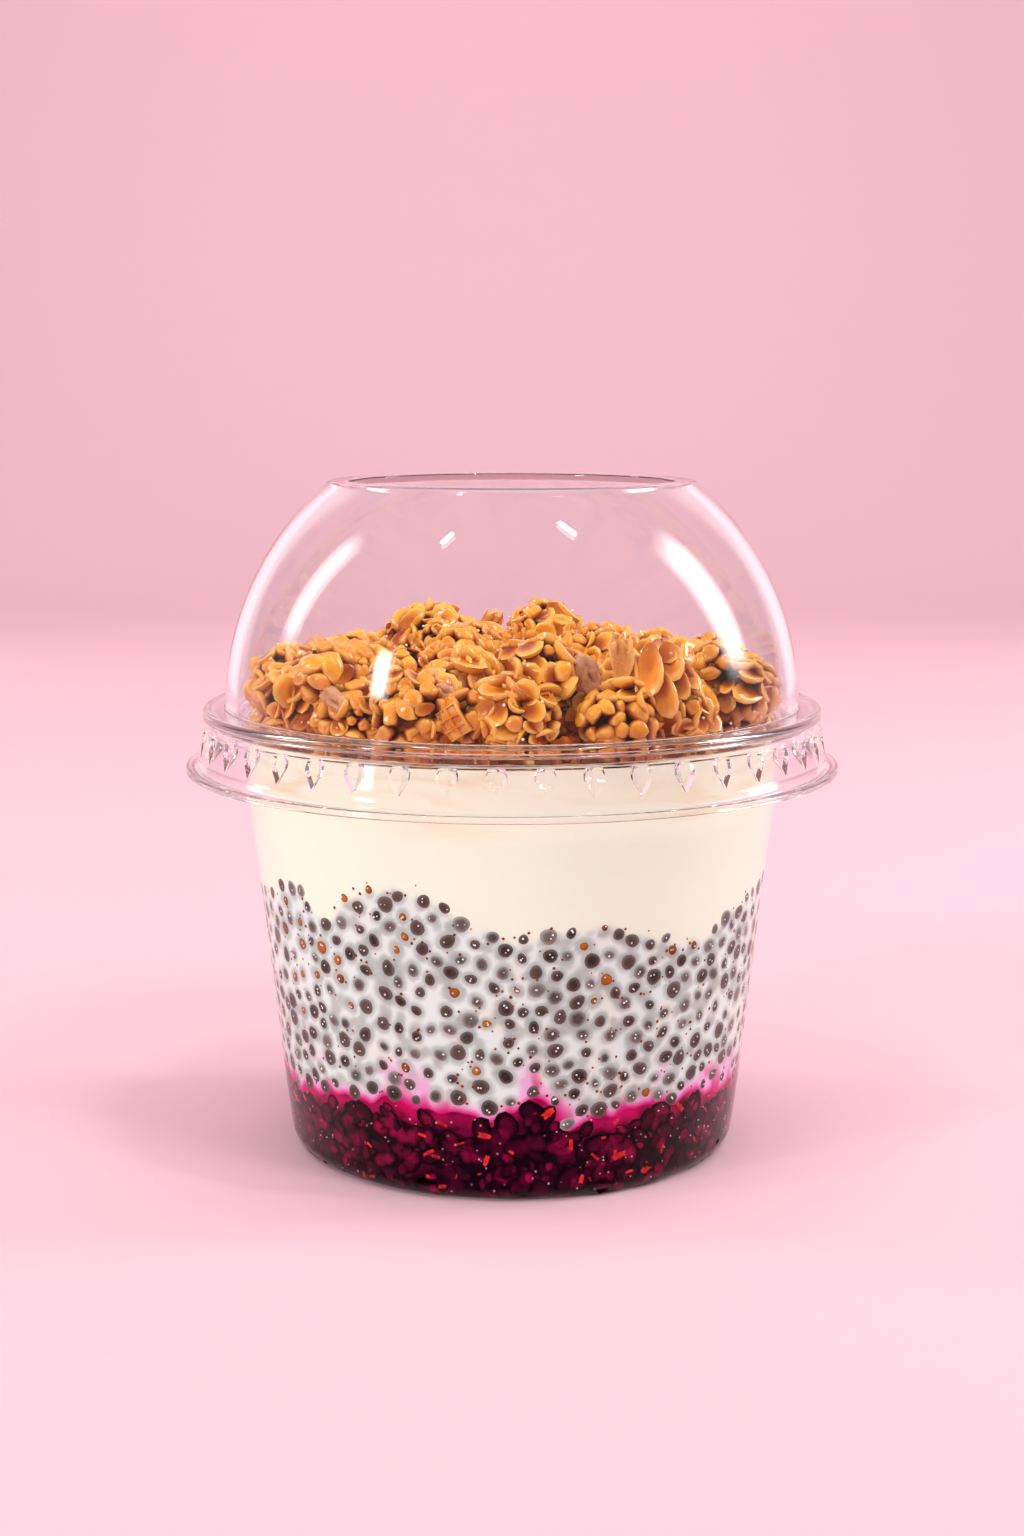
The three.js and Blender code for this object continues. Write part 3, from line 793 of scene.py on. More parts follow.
@dataclass
class Lid:
    """The clear dome lid: a dome with a wide round opening, a flat shelf, and a skirt over the cup's rim."""

    cup: Cup
    lugs: Lugs = field(default_factory=Lugs)
    fit_gap: float = 0.3
    wall: float = 0.9
    dome_wall: float = 1.8
    dome_radius: float = 45.9
    dome_rise: float = 46.67
    dome_centre: float = 71
    hole_radius: float = 26
    seam_radius: float = 27
    top: float = 107.2
    top_thickness: float = 1.3
    shelf: float = 71.6
    band_radius: float = 49.45
    band_top: float = 71.0
    band_foot: float = 68.75
    skirt_radius: float = 50.3
    skirt_foot: float = 64.0
    lip_radius: float = 52.3
    lip_width: float = 1.9
    lip_top: float = 62.4
    lip_foot: float = 61.3
    dome_steps: int = 22
    finish: Finish = ClearPlastic("lid plastic", shine=0.42)

    def radius(self, z: float, depth: float = 0) -> float:
        """The dome's outer radius at a height, or that of a surface that lies a depth inside it."""
        rise = (z - self.dome_centre) / (self.dome_rise - depth)
        return (self.dome_radius - depth) * math.sqrt(1 - rise * rise)

    def dome(self, foot: float, top: float, depth: float) -> list[Triple]:
        """Corners up the dome's curve, closer together towards its top, where it curves in the most."""
        shares = [math.sin(step / self.dome_steps * math.pi / 2) for step in range(self.dome_steps + 1)]
        heights = [lerp(foot, top, share) for share in shares]
        return [(self.radius(z, depth), z, 0) for z in heights]

    def skin(self, z: float) -> float:
        """The outer radius of the skirt at a height in the dents' reach."""
        share = (z - self.skirt_foot) / (self.band_foot - self.skirt_foot)
        return lerp(self.skirt_radius, self.band_radius, share)

    def outline(self) -> list[Pair]:
        """The lid's section, a loop from the opening's upper edge and back to it."""
        wall, lugs = self.wall, self.lugs
        under_top = self.top - self.top_thickness
        under_shelf = self.cup.rim_top + self.fit_gap
        inner_dome = self.dome(under_shelf + 0.6, under_top, self.dome_wall)
        outer_dome = self.dome(self.shelf + 0.5, self.top - 0.4, 0)
        inner_rows = [(self.skin(z) - wall, z, 0) for z in lugs.heights(wall / 3)]
        outer_rows = [(self.skin(z), z, 0) for z in lugs.heights(0)]
        return rounded(
            [
                (self.seam_radius, self.top, 0),
                (self.hole_radius, self.top, 0.35),
                (self.hole_radius, under_top, 0.35),
                *reversed(inner_dome),
                (self.dome_radius - self.dome_wall + 0.3, under_shelf, 0.5),
                (self.band_radius - wall, under_shelf, 0.5),
                (self.band_radius - wall, self.band_foot, 0),
                *inner_rows,
                (self.skirt_radius - wall, self.skirt_foot - 0.3, 0.8),
                (self.lip_radius - self.lip_width, self.lip_foot, 0.3),
                (self.lip_radius, self.lip_foot, 0.45),
                (self.lip_radius, self.lip_top, 0.45),
                (self.lip_radius - self.lip_width + wall / 2, self.lip_top, 0.5),
                (self.skirt_radius, self.skirt_foot - 0.3, 0.8),
                *reversed(outer_rows),
                (self.band_radius, self.band_foot, 0),
                (self.band_radius, self.shelf, 0.8),
                (self.dome_radius, self.shelf, 0.5),
                *outer_dome,
                (self.radius(self.top), self.top, 0.4),
                (self.seam_radius, self.top, 0),
            ]
        )

    def press_lugs(self, shape: Shape) -> None:
        """Presses the dents into the plain skirt."""
        lugs, lift = self.lugs, self.wall / 3
        for vert in shape.verts:
            skin = self.skin(vert.co.z)
            radius = math.hypot(vert.co.x, vert.co.y)
            depth = skin - lugs.depth_radius
            if lugs.foot - SAME_HEIGHT <= vert.co.z <= lugs.top + lift + lugs.ledge + SAME_HEIGHT:
                if abs(radius - skin) < SAME_RADIUS:
                    vert.co = lugs.moved(vert.co, skin, depth, 0)
                elif abs(radius - skin + self.wall) < SAME_RADIUS:
                    vert.co = lugs.moved(vert.co, skin - self.wall, depth, lift)

    def build(self) -> None:
        """Makes the lid."""
        shape = spun(self.outline(), self.lugs.count * self.lugs.columns, self.lugs.azimuth)
        self.press_lugs(shape)
        make_piece(as_mesh(shape, "clear_lid"), self.finish, ["lid"], crease=34, flats=True)


# --- Layers ---


@dataclass(frozen=True)
class Hump:
    """A place where the line between two layers rises or dips: azimuth and width in degrees."""

    azimuth: float
    rise: float
    width: float


@dataclass(frozen=True)
class Meeting:
    """Where one layer meets the next: a mean height, humps at the wall, and small ripples along them."""

    mean: float
    humps: tuple[Hump, ...] = ()
    ripples: tuple[tuple[int, float, float], ...] = ()

    def height(self, azimuth: float, share: float = 1.0) -> float:
        """The height at an azimuth in radians and a share of the way out to the wall."""
        at_wall = self.mean
        for hump in self.humps:
            away = math.degrees(azimuth) - hump.azimuth
            away -= 360 * round(away / 360)
            at_wall += hump.rise * math.exp(-((away / hump.width) ** 2))
        for waves, rise, phase in self.ripples:
            at_wall += rise * math.sin(waves * azimuth + phase)
        return lerp(self.mean, at_wall, share * share)


COMPOTE_TOP = Meeting(
    13.8,
    (
        Hump(-64, -1.6, 7), Hump(-29, 1.3, 12), Hump(6, 3.4, 4), Hump(15, -2.2, 5),
        Hump(64, -1.6, 9), Hump(120, 1.5, 15), Hump(170, -1.5, 14), Hump(-120, 1.2, 13),
    ),
    ((23, 0.45, 0.7), (37, 0.3, 2.1), (61, 0.18, 4.0)),
)

PUDDING_TOP = Meeting(
    44,
    (
        Hump(-56, 2.5, 9), Hump(-44, -1.8, 5), Hump(-26, 6.2, 13), Hump(1, -2, 5),
        Hump(42, -4.2, 13), Hump(76, 1.4, 8), Hump(110, 3, 14), Hump(150, -3, 16),
        Hump(-150, 4, 18), Hump(-105, -2, 14),
    ),
    ((19, 0.35, 1.1), (31, 0.3, 3.4), (53, 0.2, 0.4)),
)

CREAM_TOP = Meeting(67.5)


@dataclass
class Layer:
    """A layer of food that fills the cup from one meeting to the next and reaches just into the wall.

    Attributes:
        cup: the cup that it fills.
        foot: the meeting below it.
        top: the meeting above it.
        rows: rows of faces up its side.
        reach: how far its side goes into the wall.
        columns: faces round its side.
        rings: where its top and foot have rings, as shares of the radius.
    """

    cup: Cup
    foot: Meeting
    top: Meeting
    rows: int
    reach: float = 0.15
    columns: int = 720
    rings: tuple[float, ...] = (0.3, 0.6, 0.8, 0.92)

    def shape(self) -> Shape:
        """The layer as a shape whose side follows the wall."""
        side = [(1.0, row / self.rows) for row in range(self.rows + 1)]
        foot = [(share, 0.0) for share in (0.0, *self.rings)]
        top = [(share, 1.0) for share in (*reversed(self.rings), 0.0)]
        shape = spun([*foot, *side, *top], self.columns)
        for vert in shape.verts:
            azimuth, share, level = azimuth_of(vert.co), math.hypot(vert.co.x, vert.co.y), vert.co.z
            z = lerp(self.foot.height(azimuth, share), self.top.height(azimuth, share), level)
            vert.co = around(share * (self.cup.inner_radius(z) + self.reach), azimuth, z)
        return shape


def set_marks(shape: Shape, **marks: Callable[[Vector], float]) -> None:
    """Writes numbers to each point of a shape, for its finish to read.

    Args:
        shape: the shape.
        marks: for each mark's name, what gives its number at a point.
    """
    for name, number in marks.items():
        layer = shape.verts.layers.float.new(name)
        for vert in shape.verts:
            vert[layer] = number(vert.co)


# --- Small things, made once and set down many times ---


class Form(Enum):
    """The shapes that small things come in."""

    SPECK = "speck"
    SEED = "seed"
    LUMP = "lump"
    SHRED = "shred"
    PETAL = "petal"
    PUFF = "puff"
    BLOCK = "block"
    WAFFLE = "waffle"
    NUT = "nut"
    FLAKE = "flake"


@dataclass(frozen=True)
class Mould:
    """A small thing's own shape as arrays: its points, its triangles, and two marks for each point.

    Attributes:
        points: the points, about a unit from the middle.
        triangles: the corners of each triangle.
        rim: how near each point is to the rim, from 0 to 1.
        depth: how much painted shade each point takes, more towards the form's root or its inner side, from 0
            to 1.
    """

    points: np.ndarray
    triangles: np.ndarray
    rim: np.ndarray
    depth: np.ndarray


class Moulds:
    """Shapes each form once, and keeps its mould for the next time. A form's middle is its origin."""

    coarse, medium, fine = 1, 2, 3
    rim_width = 0.75
    # Where the painted shade towards a form's root or inner side starts, and over how far it grows.
    root_start, root_reach = 0.1, 0.9

    def __init__(self) -> None:
        """Starts with no form made."""
        self.made: dict[Form, Mould] = {}

    def mould(self, form: Form) -> Mould:
        """The form's mould."""
        if form not in self.made:
            shape = bmesh.new()
            getattr(self, form.value)(shape)
            bmesh.ops.recalc_face_normals(shape, faces=shape.faces)
            bmesh.ops.triangulate(shape, faces=shape.faces)
            shape.verts.index_update()
            points = np.array([vert.co[:] for vert in shape.verts])
            triangles = np.array([[vert.index for vert in face.verts] for face in shape.faces])
            shape.free()
            rim = np.minimum(np.hypot(points[:, 0] / self.rim_width, points[:, 1]), 1)
            # Painted shade: more towards the root of petals and flakes and the inner side of other forms.
            root = -points[:, 1] if form in (Form.PETAL, Form.FLAKE) else -points[:, 2]
            depth = np.clip((root + self.root_start) / self.root_reach, 0, 1)
            self.made[form] = Mould(points, triangles, rim, depth)
        return self.made[form]

    @staticmethod
    def ball(shape: Shape, fineness: int) -> Iterator[tuple[bmesh.types.BMVert, Vector]]:
        """Makes a ball of 20, 80 or 320 triangles, and gives its points and their places on it."""
        bmesh.ops.create_icosphere(shape, subdivisions=fineness, radius=1)
        return ((vert, vert.co.copy()) for vert in shape.verts)

    def speck(self, shape: Shape) -> None:
        """A tiny speck with few faces."""
        self.ball(shape, self.coarse)

    def seed(self, shape: Shape) -> None:
        """A plump oval seed, narrower at one end."""
        width, taper, thickness = 0.78, 0.13, 0.5
        for vert, (x, y, z) in self.ball(shape, self.medium):
            vert.co = Vector((x * (width - taper * y), y, z * thickness))

    def lump(self, shape: Shape) -> None:
        """A soft uneven lump."""
        width, thickness, unevenness, fineness = 0.85, 0.6, 0.2, 1.3
        for vert, (x, y, z) in self.ball(shape, self.medium):
            swell = 1 + unevenness * noise.noise(vert.co * fineness)
            vert.co = Vector((x * swell * width, y * swell, z * thickness))

    def shred(self, shape: Shape) -> None:
        """A thin ragged shred."""
        width, thickness, raggedness, fineness = 0.36, 0.16, 1.5, 3.1
        for vert, (x, y, z) in self.ball(shape, self.medium):
            ragged = 1 + raggedness * noise.noise(vert.co * fineness)
            vert.co = Vector((x * width * ragged, y * ragged, z * thickness))

    def petal(self, shape: Shape) -> None:
        """A thick scale: broad and rounded at its tip, cupped, with its root at -Y."""
        width, broadening, thickness = 0.68, 0.16, 0.27
        cupped_across, cupped_along = 0.36, 0.28
        for vert, (x, y, z) in self.ball(shape, self.medium):
            cup = cupped_across * x * x + cupped_along * y * y
            vert.co = Vector((x * (width + broadening * y), y, z * thickness + cup))

    def puff(self, shape: Shape) -> None:
        """A puffed grain: round, with dimples."""
        radius, dimple, fineness = 0.9, 0.3, 1.7
        self.ball(shape, self.medium)
        for vert in shape.verts:
            vert.co *= radius + dimple * noise.noise(vert.co * fineness)

    def block(self, shape: Shape) -> None:
        """A soft-edged block, a little askew."""
        length, width, thickness, skew = 1.4, 0.85, 0.75, 0.12
        bmesh.ops.create_cube(shape, size=length)
        bmesh.ops.bevel(
            shape,
            geom=shape.edges[:] + shape.verts[:],
            offset=0.3,
            offset_type="OFFSET",
            segments=2,
            profile=0.5,
            affect="EDGES",
            material=-1,
        )
        for vert in shape.verts:
            x, y, z = vert.co
            vert.co = Vector((x * width, y, z * thickness + skew * x))

    def waffle(self, shape: Shape) -> None:
        """A little plate with two rows of three pockets between raised ridges, drooping at its corners."""
        width, thickness, ridge, ridge_rise, slope, pocket, droop = 0.75, 0.4, 0.08, 0.06, 0.09, 0.26, 0.16
        bmesh.ops.create_grid(shape, x_segments=3, y_segments=2, size=1)
        for vert in shape.verts:
            vert.co.y *= width
        raised = bmesh.ops.extrude_face_region(shape, geom=shape.faces[:])["geom"]
        upper = [part for part in raised if isinstance(part, bmesh.types.BMVert)]
        bmesh.ops.translate(shape, vec=(0, 0, thickness), verts=upper)
        top = [part for part in raised if isinstance(part, bmesh.types.BMFace)]
        bmesh.ops.inset_individual(shape, faces=top, thickness=ridge, depth=ridge_rise)
        bmesh.ops.inset_individual(shape, faces=top, thickness=slope, depth=-pocket)
        for vert in shape.verts:
            vert.co.z -= droop * (vert.co.x**2 + vert.co.y**2)

    def nut(self, shape: Shape) -> None:
        """Half a nut: smooth folds on either side of a groove."""
        width, thickness, groove_depth, groove_width = 0.72, 0.6, 0.35, 0.16
        fold, folds_along, folds_across = 0.09, 9, 5
        unevenness, fineness = 0.16, 2.4
        for vert, (x, y, z) in self.ball(shape, self.fine):
            groove = groove_depth * math.exp(-((x / groove_width) ** 2)) * max(z, 0)
            folds = fold * math.sin(folds_along * y + folds_across * abs(x))
            folds += unevenness * noise.noise(vert.co * fineness)
            vert.co = Vector((x * (width + folds), y * (1 + folds), z * (thickness + folds) - groove))

    def flake(self, shape: Shape) -> None:
        """A thin papery flake with a frilled upper edge."""
        width, broadening, thickness, cup = 0.62, 0.3, 0.1, 0.3
        frill_height, frills, frill_foot, lean = 0.22, 12, -0.2, 0.7
        for vert, (x, y, z) in self.ball(shape, self.fine):
            frill = frill_height * math.sin(frills * x) * smooth_share(frill_foot, 1, y)
            height = z * thickness + cup * x * x + frill
            vert.co = Vector((x * (width + broadening * y), y + lean * frill, height))


NO_BALL = (0.0, 0.0, 0.0, 1e-6)


@dataclass(frozen=True)
class Ball:
    """A ball of granola and the way out from it: a cluster of the heap, or one of the knots on a cluster."""

    centre: Vector
    size: float
    out: Vector


class Scatter:
    """Small things of one kind, gathered into one mesh.

    A thing that stands on a ball gets painted shade towards its root and where it goes down into the ball:
    none from clear_of_ball up and all of it from deep_in_ball down, both as shares of the ball's size.
    """

    clear_of_ball, deep_in_ball = 1.06, 0.68
    # The most painted shade that a thing takes at its root.
    root_shade = 0.5

    def __init__(self, moulds: Moulds) -> None:
        """Starts with nothing set down."""
        self.moulds = moulds
        self.places: dict[Form, list[Matrix]] = {}
        self.shades: dict[Form, list[Pair]] = {}
        self.balls: dict[Form, list[tuple[float, ...]]] = {}

    def set_down(
        self, form: Form, place: Matrix, tint: float, depth: float = 0.0, ball: Ball | None = None
    ) -> None:
        """Sets down one thing.

        Args:
            form: its shape.
            place: where it goes, how it is turned and how large it is.
            tint: its own shade, from 0 to 1.
            depth: how much painted shade it takes for lying deep in the gaps, from 0 to 1.
            ball: the ball that it is set on, if any: it takes painted shade where it goes down into it.
        """
        self.places.setdefault(form, []).append(place)
        self.shades.setdefault(form, []).append((tint, depth))
        self.balls.setdefault(form, []).append((*ball.centre, ball.size) if ball else NO_BALL)

    def gathered(self, name: str, fit: Callable[[np.ndarray], np.ndarray] | None = None) -> bpy.types.Mesh:
        """All the things as one mesh.

        Args:
            name: the mesh's name.
            fit: what moves the points to where they fit, if anything.

        Returns:
            The mesh, with the marks tint, rim and depth, the last of them painted shade.
        """
        points, triangles, count = [], [], 0
        marks = {"tint": [], "rim": [], "depth": []}
        fade = self.clear_of_ball - self.deep_in_ball
        for form, places in self.places.items():
            mould = self.moulds.mould(form)
            matrices = np.array([place[:] for place in places])
            tints, gap_shade = np.array(self.shades[form]).T[:, :, None] * np.ones(len(mould.points))
            offsets = count + len(mould.points) * np.arange(len(places))
            corners = np.column_stack([mould.points, np.ones(len(mould.points))])
            placed = np.einsum("kij,nj->kni", matrices[:, :3], corners)
            balls = np.array(self.balls[form])
            # Painted shade: from lying deep in the gaps, towards each form's root and down into the ball.
            height = np.linalg.norm(placed - balls[:, None, :3], axis=2) / balls[:, None, 3]
            sunk = ((self.clear_of_ball - height) / fade).clip(0, 1)
            unshaded_share = (1 - gap_shade) * (1 - self.root_shade * mould.depth) * (1 - sunk)
            points.append(placed.reshape(-1, 3))
            triangles.append((mould.triangles[None] + offsets[:, None, None]).reshape(-1, 3))
            marks["tint"].append(tints.ravel())
            marks["rim"].append(np.tile(mould.rim, len(places)))
            marks["depth"].append((1 - unshaded_share).ravel())
            count += len(mould.points) * len(places)
        every = np.concatenate(points)
        mesh = bpy.data.meshes.new(name)
        mesh.from_pydata((fit(every) if fit else every).tolist(), [], np.concatenate(triangles).tolist())
        for mark, numbers in marks.items():
            mesh.attributes.new(mark, "FLOAT", "POINT").data.foreach_set("value", np.concatenate(numbers))
        return mesh


def standing(place: Vector, outward: Vector, along: Vector, size: Vector) -> Matrix:
    """The matrix that stands a thing on a surface.

    Args:
        place: its middle.
        outward: where its own Z points.
        along: roughly where its own Y points.
        size: its half width, half length and half height.

    Returns:
        The matrix.
    """
    up = outward.normalized()
    side = along.cross(up).normalized()
    ahead = up.cross(side)
    turn = Matrix((side, ahead, up)).transposed().to_4x4()
    return Matrix.Translation(place) @ turn @ Matrix.Diagonal((*size, 1))


def turned_about(outward: Vector, turn: float) -> Vector:
    """A direction along a surface, turned by an angle from the steepest way up it."""
    up = Vector((0, 0, 1))
    steepest = up - outward * outward.dot(up)
    if steepest.length < LEVEL:
        steepest = Vector((0, 1, 0))
    return Matrix.Rotation(turn, 3, outward) @ steepest.normalized()


# --- Compote ---


@dataclass(frozen=True)
class Bits:
    """Bits of one kind that are strewn over the compote's side.

    Attributes:
        name: the name of their piece.
        form: their shape.
        count: how many there are.
        halves: the smallest and the largest half length.
        widths: the narrowest and the broadest of them, as shares of their length.
        thickness: their half thickness.
        sink: how deep inside the wall's inner face their middles are.
        high: the highest level that they reach, as a share of the compote's height.
        finish: what they are made of.
    """

    name: str
    form: Form
    count: int
    halves: Pair
    widths: Pair
    thickness: float
    sink: float
    high: float
    finish: Finish


@dataclass
class Compote:
    """The dark berry compote in the cup's foot, with lumps of fruit, red shreds and bright glints in it."""

    cup: Cup
    moulds: Moulds
    rows: int = 44
    foot: float = 0.65
    jelly: Finish = BerryJelly("berry jelly")
    bits: tuple[Bits, ...] = (
        Bits(
            "berry_lumps",
            Form.LUMP,
            count=760, halves=(1.1, 2.6), widths=(0.7, 1),
            thickness=0.75, sink=0.05, high=0.9,
            finish=BerryFlesh("berry flesh"),
        ),
        Bits(
            "red_shreds",
            Form.SHRED,
            count=110, halves=(0.2, 0.95), widths=(0.5, 1.7),
            thickness=0.6, sink=-0.43, high=0.97,
            finish=Morsel(
                "red shreds", shade(150, 4, 24), shade(238, 44, 42), shade(255, 100, 80), rim_share=0.25
            ),
        ),
        Bits(
            "compote_glints",
            Form.SPECK,
            count=260, halves=(0.07, 0.17), widths=(0.7, 1),
            thickness=0.14, sink=-0.45, high=1.0,
            finish=Morsel("wet glints", shade(230, 90, 130), shade(255, 214, 224), shade(255, 240, 244)),
        ),
    )
    lowest_bit: float = 0.5
    corner_rise: float = 0.4
    corner_tilt: float = 0.8
    glow_depths: Pair = (3.4, 0.3)
    glow_patch: float = 0.35

    def on_side(self, dice: Dice, sink: float, high: float) -> tuple[Vector, Vector]:
        """A drawn place on the compote's side.

        Args:
            dice: what draws it.
            sink: how deep inside the wall's inner face the place is.
            high: the highest level, as a share of the compote's height.

        Returns:
            The place and the way out from it.
        """
        azimuth = dice.stray(math.pi)
        z = lerp(self.cup.wall + self.lowest_bit, COMPOTE_TOP.height(azimuth), high * dice.throw())
        place = around(self.cup.inner_radius(z) - sink, azimuth, z)
        tilt = smooth_share(self.cup.corner_top + self.corner_rise, self.foot, z)
        return place, around(1, azimuth, -self.cup.wall_slope - self.corner_tilt * tilt).normalized()

    def strewn(self, bits: Bits, dice: Dice) -> bpy.types.Mesh:
        """Bits strewn over the compote's side, as one mesh."""
        scatter = Scatter(self.moulds)
        for _ in range(bits.count):
            place, out = self.on_side(dice, bits.sink, bits.high)
            half = dice.between(*bits.halves)
            size = Vector((half * dice.between(*bits.widths), half, bits.thickness))
            turn = turned_about(out, dice.stray(math.pi))
            scatter.set_down(bits.form, standing(place, out, turn, size), dice.throw())
        return scatter.gathered(bits.name, self.above_base)

    def above_base(self, points: np.ndarray) -> np.ndarray:
        """The points, lifted where they would come through the cup's base."""
        lifted = points.copy()
        lifted[:, 2] = np.maximum(lifted[:, 2], self.cup.wall / 2)
        return lifted

    def build(self) -> None:
        """Makes the compote and what is in it."""
        shape = Layer(self.cup, Meeting(self.foot), COMPOTE_TOP, self.rows).shape()
        set_marks(shape, glow=self.glow)
        make_piece(as_mesh(shape, "berry_compote"), self.jelly, ["berry_compote"])
        dice = Dice(11)
        for bits in self.bits:
            make_piece(self.strewn(bits, dice), bits.finish)

    def glow(self, point: Vector) -> float:
        """How much the juice glows under the pudding, in patches."""
        below = COMPOTE_TOP.height(azimuth_of(point)) - point.z
        patches = 0.7 + 0.9 * noise.noise(point * self.glow_patch)
        return smooth_share(*self.glow_depths, below) * min(max(patches, 0.0), 1.0)


# --- Pudding ---


class SeedKind(Enum):
    """The kinds of seed that lie on the wall, each with the name of its piece."""

    DARK = "dark_seeds"
    GREY = "grey_seeds"
    AMBER = "amber_seeds"


@dataclass(frozen=True)
class Seed:
    """A seed's place on the wall, the way out from it, the way it lies and its half length."""

    place: Vector
    out: Vector
    along: Vector
    half: float
    slimness: float = 0.8

    def distance(self, point: Vector) -> float:
        """How far a point is from the seed's middle, in half lengths, less along the seed than across it."""
        away = point - self.place
        lengthways = away.dot(self.along)
        across = (away - self.along * lengthways).length_squared
        return math.sqrt((lengthways * self.slimness) ** 2 + across) / self.half


@dataclass
class Pudding:
    """The milky pudding: seeds on the wall in grey rings of gel, blurred ones behind them, tiny specks.

    Attributes:
        spacing: the least distance between two seeds' middles.
        margins: how far the seeds' middles keep from the compote and from the cream.
        amber_halves: how large amber seeds are, as shares of the others.
        amber_shares: how many seeds are amber below the amber heights, and above them.
        glint_counts: how many glints a seed has, rounded down.
        glint_reach: how far along and across a seed they lie, as shares of its half length.
        sunken: how many blurred seeds show behind the others.
        creep: the least and the farthest that juice has crept up.
        gel: the distances from a seed, in half lengths, between which its ring of gel fades.
        ghost: the same for a blurred seed.
    """

    cup: Cup
    moulds: Moulds
    rows: int = 92
    spacing: float = 2.5
    tries: int = 24000
    seed_halves: Pair = (0.85, 1.5)
    seed_widths: Pair = (0.95, 1.3)
    seed_thickness: float = 0.95
    margins: Pair = (0.9, 0.2)
    amber_halves: Pair = (0.5, 0.85)
    amber_shares: Pair = (0.05, 0.12)
    amber_heights: Pair = (24, 34)
    grey_share: float = 0.32
    glint_counts: Pair = (0.5, 3)
    glint_reach: Pair = (0.45, 0.3)
    glint_lift: float = 0.42
    glint_halves: Pair = (0.1, 0.2)
    specks: int = 900
    speck_halves: Pair = (0.14, 0.3)
    speck_foot: float = 0.6
    speck_rise: float = 3
    sunken: int = 460
    creep: Pair = (2, 7)
    creep_patch: float = 0.17
    gel: Pair = (1.55, 0.8)
    ghost: Pair = (1.2, 0.4)
    milk: Finish = MilkyPudding("milky pudding")
    finishes: dict[SeedKind, Finish] = field(
        default_factory=lambda: {
            SeedKind.DARK: Morsel(
                "dark seeds",
                shade(44, 31, 26), shade(96, 78, 70), shade(132, 120, 118),
                rim_share=0.6, depth=0.06,
            ),
            SeedKind.GREY: Morsel(
                "grey seeds",
                shade(74, 66, 61), shade(120, 110, 103), shade(172, 169, 164),
                rim_share=0.75, grain=0.6, depth=0.06,
            ),
            SeedKind.AMBER: Morsel(
                "amber seeds",
                shade(112, 48, 12), shade(206, 116, 28), shade(104, 74, 56),
                rim_share=0.6, depth=0.04,
            ),
        }
    )
    red_brown: Finish = Morsel(
        "red-brown specks", shade(104, 30, 10), shade(176, 66, 24), shade(160, 80, 50), rim_share=0.3
    )
    glint: Finish = Morsel("seed glints", shade(214, 214, 220), shade(255, 255, 255), shade(255, 255, 255))

    def drawn_seed(self, dice: Dice) -> Seed:
        """A seed at a drawn place."""
        azimuth = dice.stray(math.pi)
        below, above = self.margins
        foot, top = COMPOTE_TOP.height(azimuth) + below, PUDDING_TOP.height(azimuth) - above
        z = lerp(foot, top, dice.throw())
        out = around(1, azimuth, -self.cup.wall_slope).normalized()
        along = turned_about(out, dice.stray(1.5))
        return Seed(around(self.cup.inner_radius(z), azimuth, z), out, along, dice.between(*self.seed_halves))

    def wall_seeds(self, dice: Dice) -> list[Seed]:
        """Draws the seeds on the wall so that no two are closer than the spacing."""
        taken: dict[tuple[int, ...], list[Vector]] = {}
        seeds = []
        steps = [(x, y, up) for x in (-1, 0, 1) for y in (-1, 0, 1) for up in (-1, 0, 1)]
        for _ in range(self.tries):
            seed = self.drawn_seed(dice)
            cell = tuple(int(number // self.spacing) for number in seed.place)
            near = (taken.get(tuple(map(sum, zip(cell, step))), ()) for step in steps)
            if all((other - seed.place).length > self.spacing for others in near for other in others):
                taken.setdefault(cell, []).append(seed.place)
                seeds.append(seed)
        return seeds

    def kind_of(self, draw: float, z: float) -> SeedKind:
        """The kind of a seed, from a draw. The amber ones are more common in the upper half."""
        if draw < lerp(*self.amber_shares, smooth_share(*self.amber_heights, z)):
            return SeedKind.AMBER
        return SeedKind.GREY if draw > 1 - self.grey_share else SeedKind.DARK

    def build_seeds(self, seeds: Sequence[Seed], dice: Dice) -> None:
        """Makes the seeds on the wall and the glints on them."""
        scatters = {kind: Scatter(self.moulds) for kind in SeedKind}
        glints = Scatter(self.moulds)
        for seed in seeds:
            kind = self.kind_of(dice.throw(), seed.place.z)
            half = seed.half * (dice.between(*self.amber_halves) if kind is SeedKind.AMBER else 1)
            size = Vector((half * dice.between(*self.seed_widths), half, self.seed_thickness))
            scatters[kind].set_down(Form.SEED, standing(seed.place, seed.out, seed.along, size), dice.throw())
            side = seed.along.cross(seed.out)
            for _ in range(int(dice.between(*self.glint_counts))):
                along, across = (dice.stray(reach) for reach in self.glint_reach)
                spot = seed.place + seed.along * along * half + side * across * half
                dot = Vector((dice.between(*self.glint_halves),) * 3)
                place = standing(spot + seed.out * self.glint_lift, seed.out, seed.along, dot)
                glints.set_down(Form.SPECK, place, dice.throw())
        for kind, scatter in scatters.items():
            make_piece(scatter.gathered(kind.value), self.finishes[kind])
        make_piece(glints.gathered("seed_glints"), self.glint)

    def build_specks(self, dice: Dice) -> None:
        """Makes the tiny specks, some of them up in the cream."""
        specks = Scatter(self.moulds)
        for _ in range(self.specks):
            azimuth = dice.stray(math.pi)
            top = PUDDING_TOP.height(azimuth) + dice.between(0, self.speck_rise) * dice.throw()
            z = lerp(COMPOTE_TOP.height(azimuth) + self.speck_foot, top, dice.throw())
            place = around(self.cup.inner_radius(z) + Layer.reach, azimuth, z)
            dot = Vector((dice.between(*self.speck_halves),) * 3)
            out = around(1, azimuth, 0)
            specks.set_down(Form.SPECK, standing(place, out, turned_about(out, 0), dot), dice.throw())
        make_piece(specks.gathered("pudding_specks"), self.red_brown)

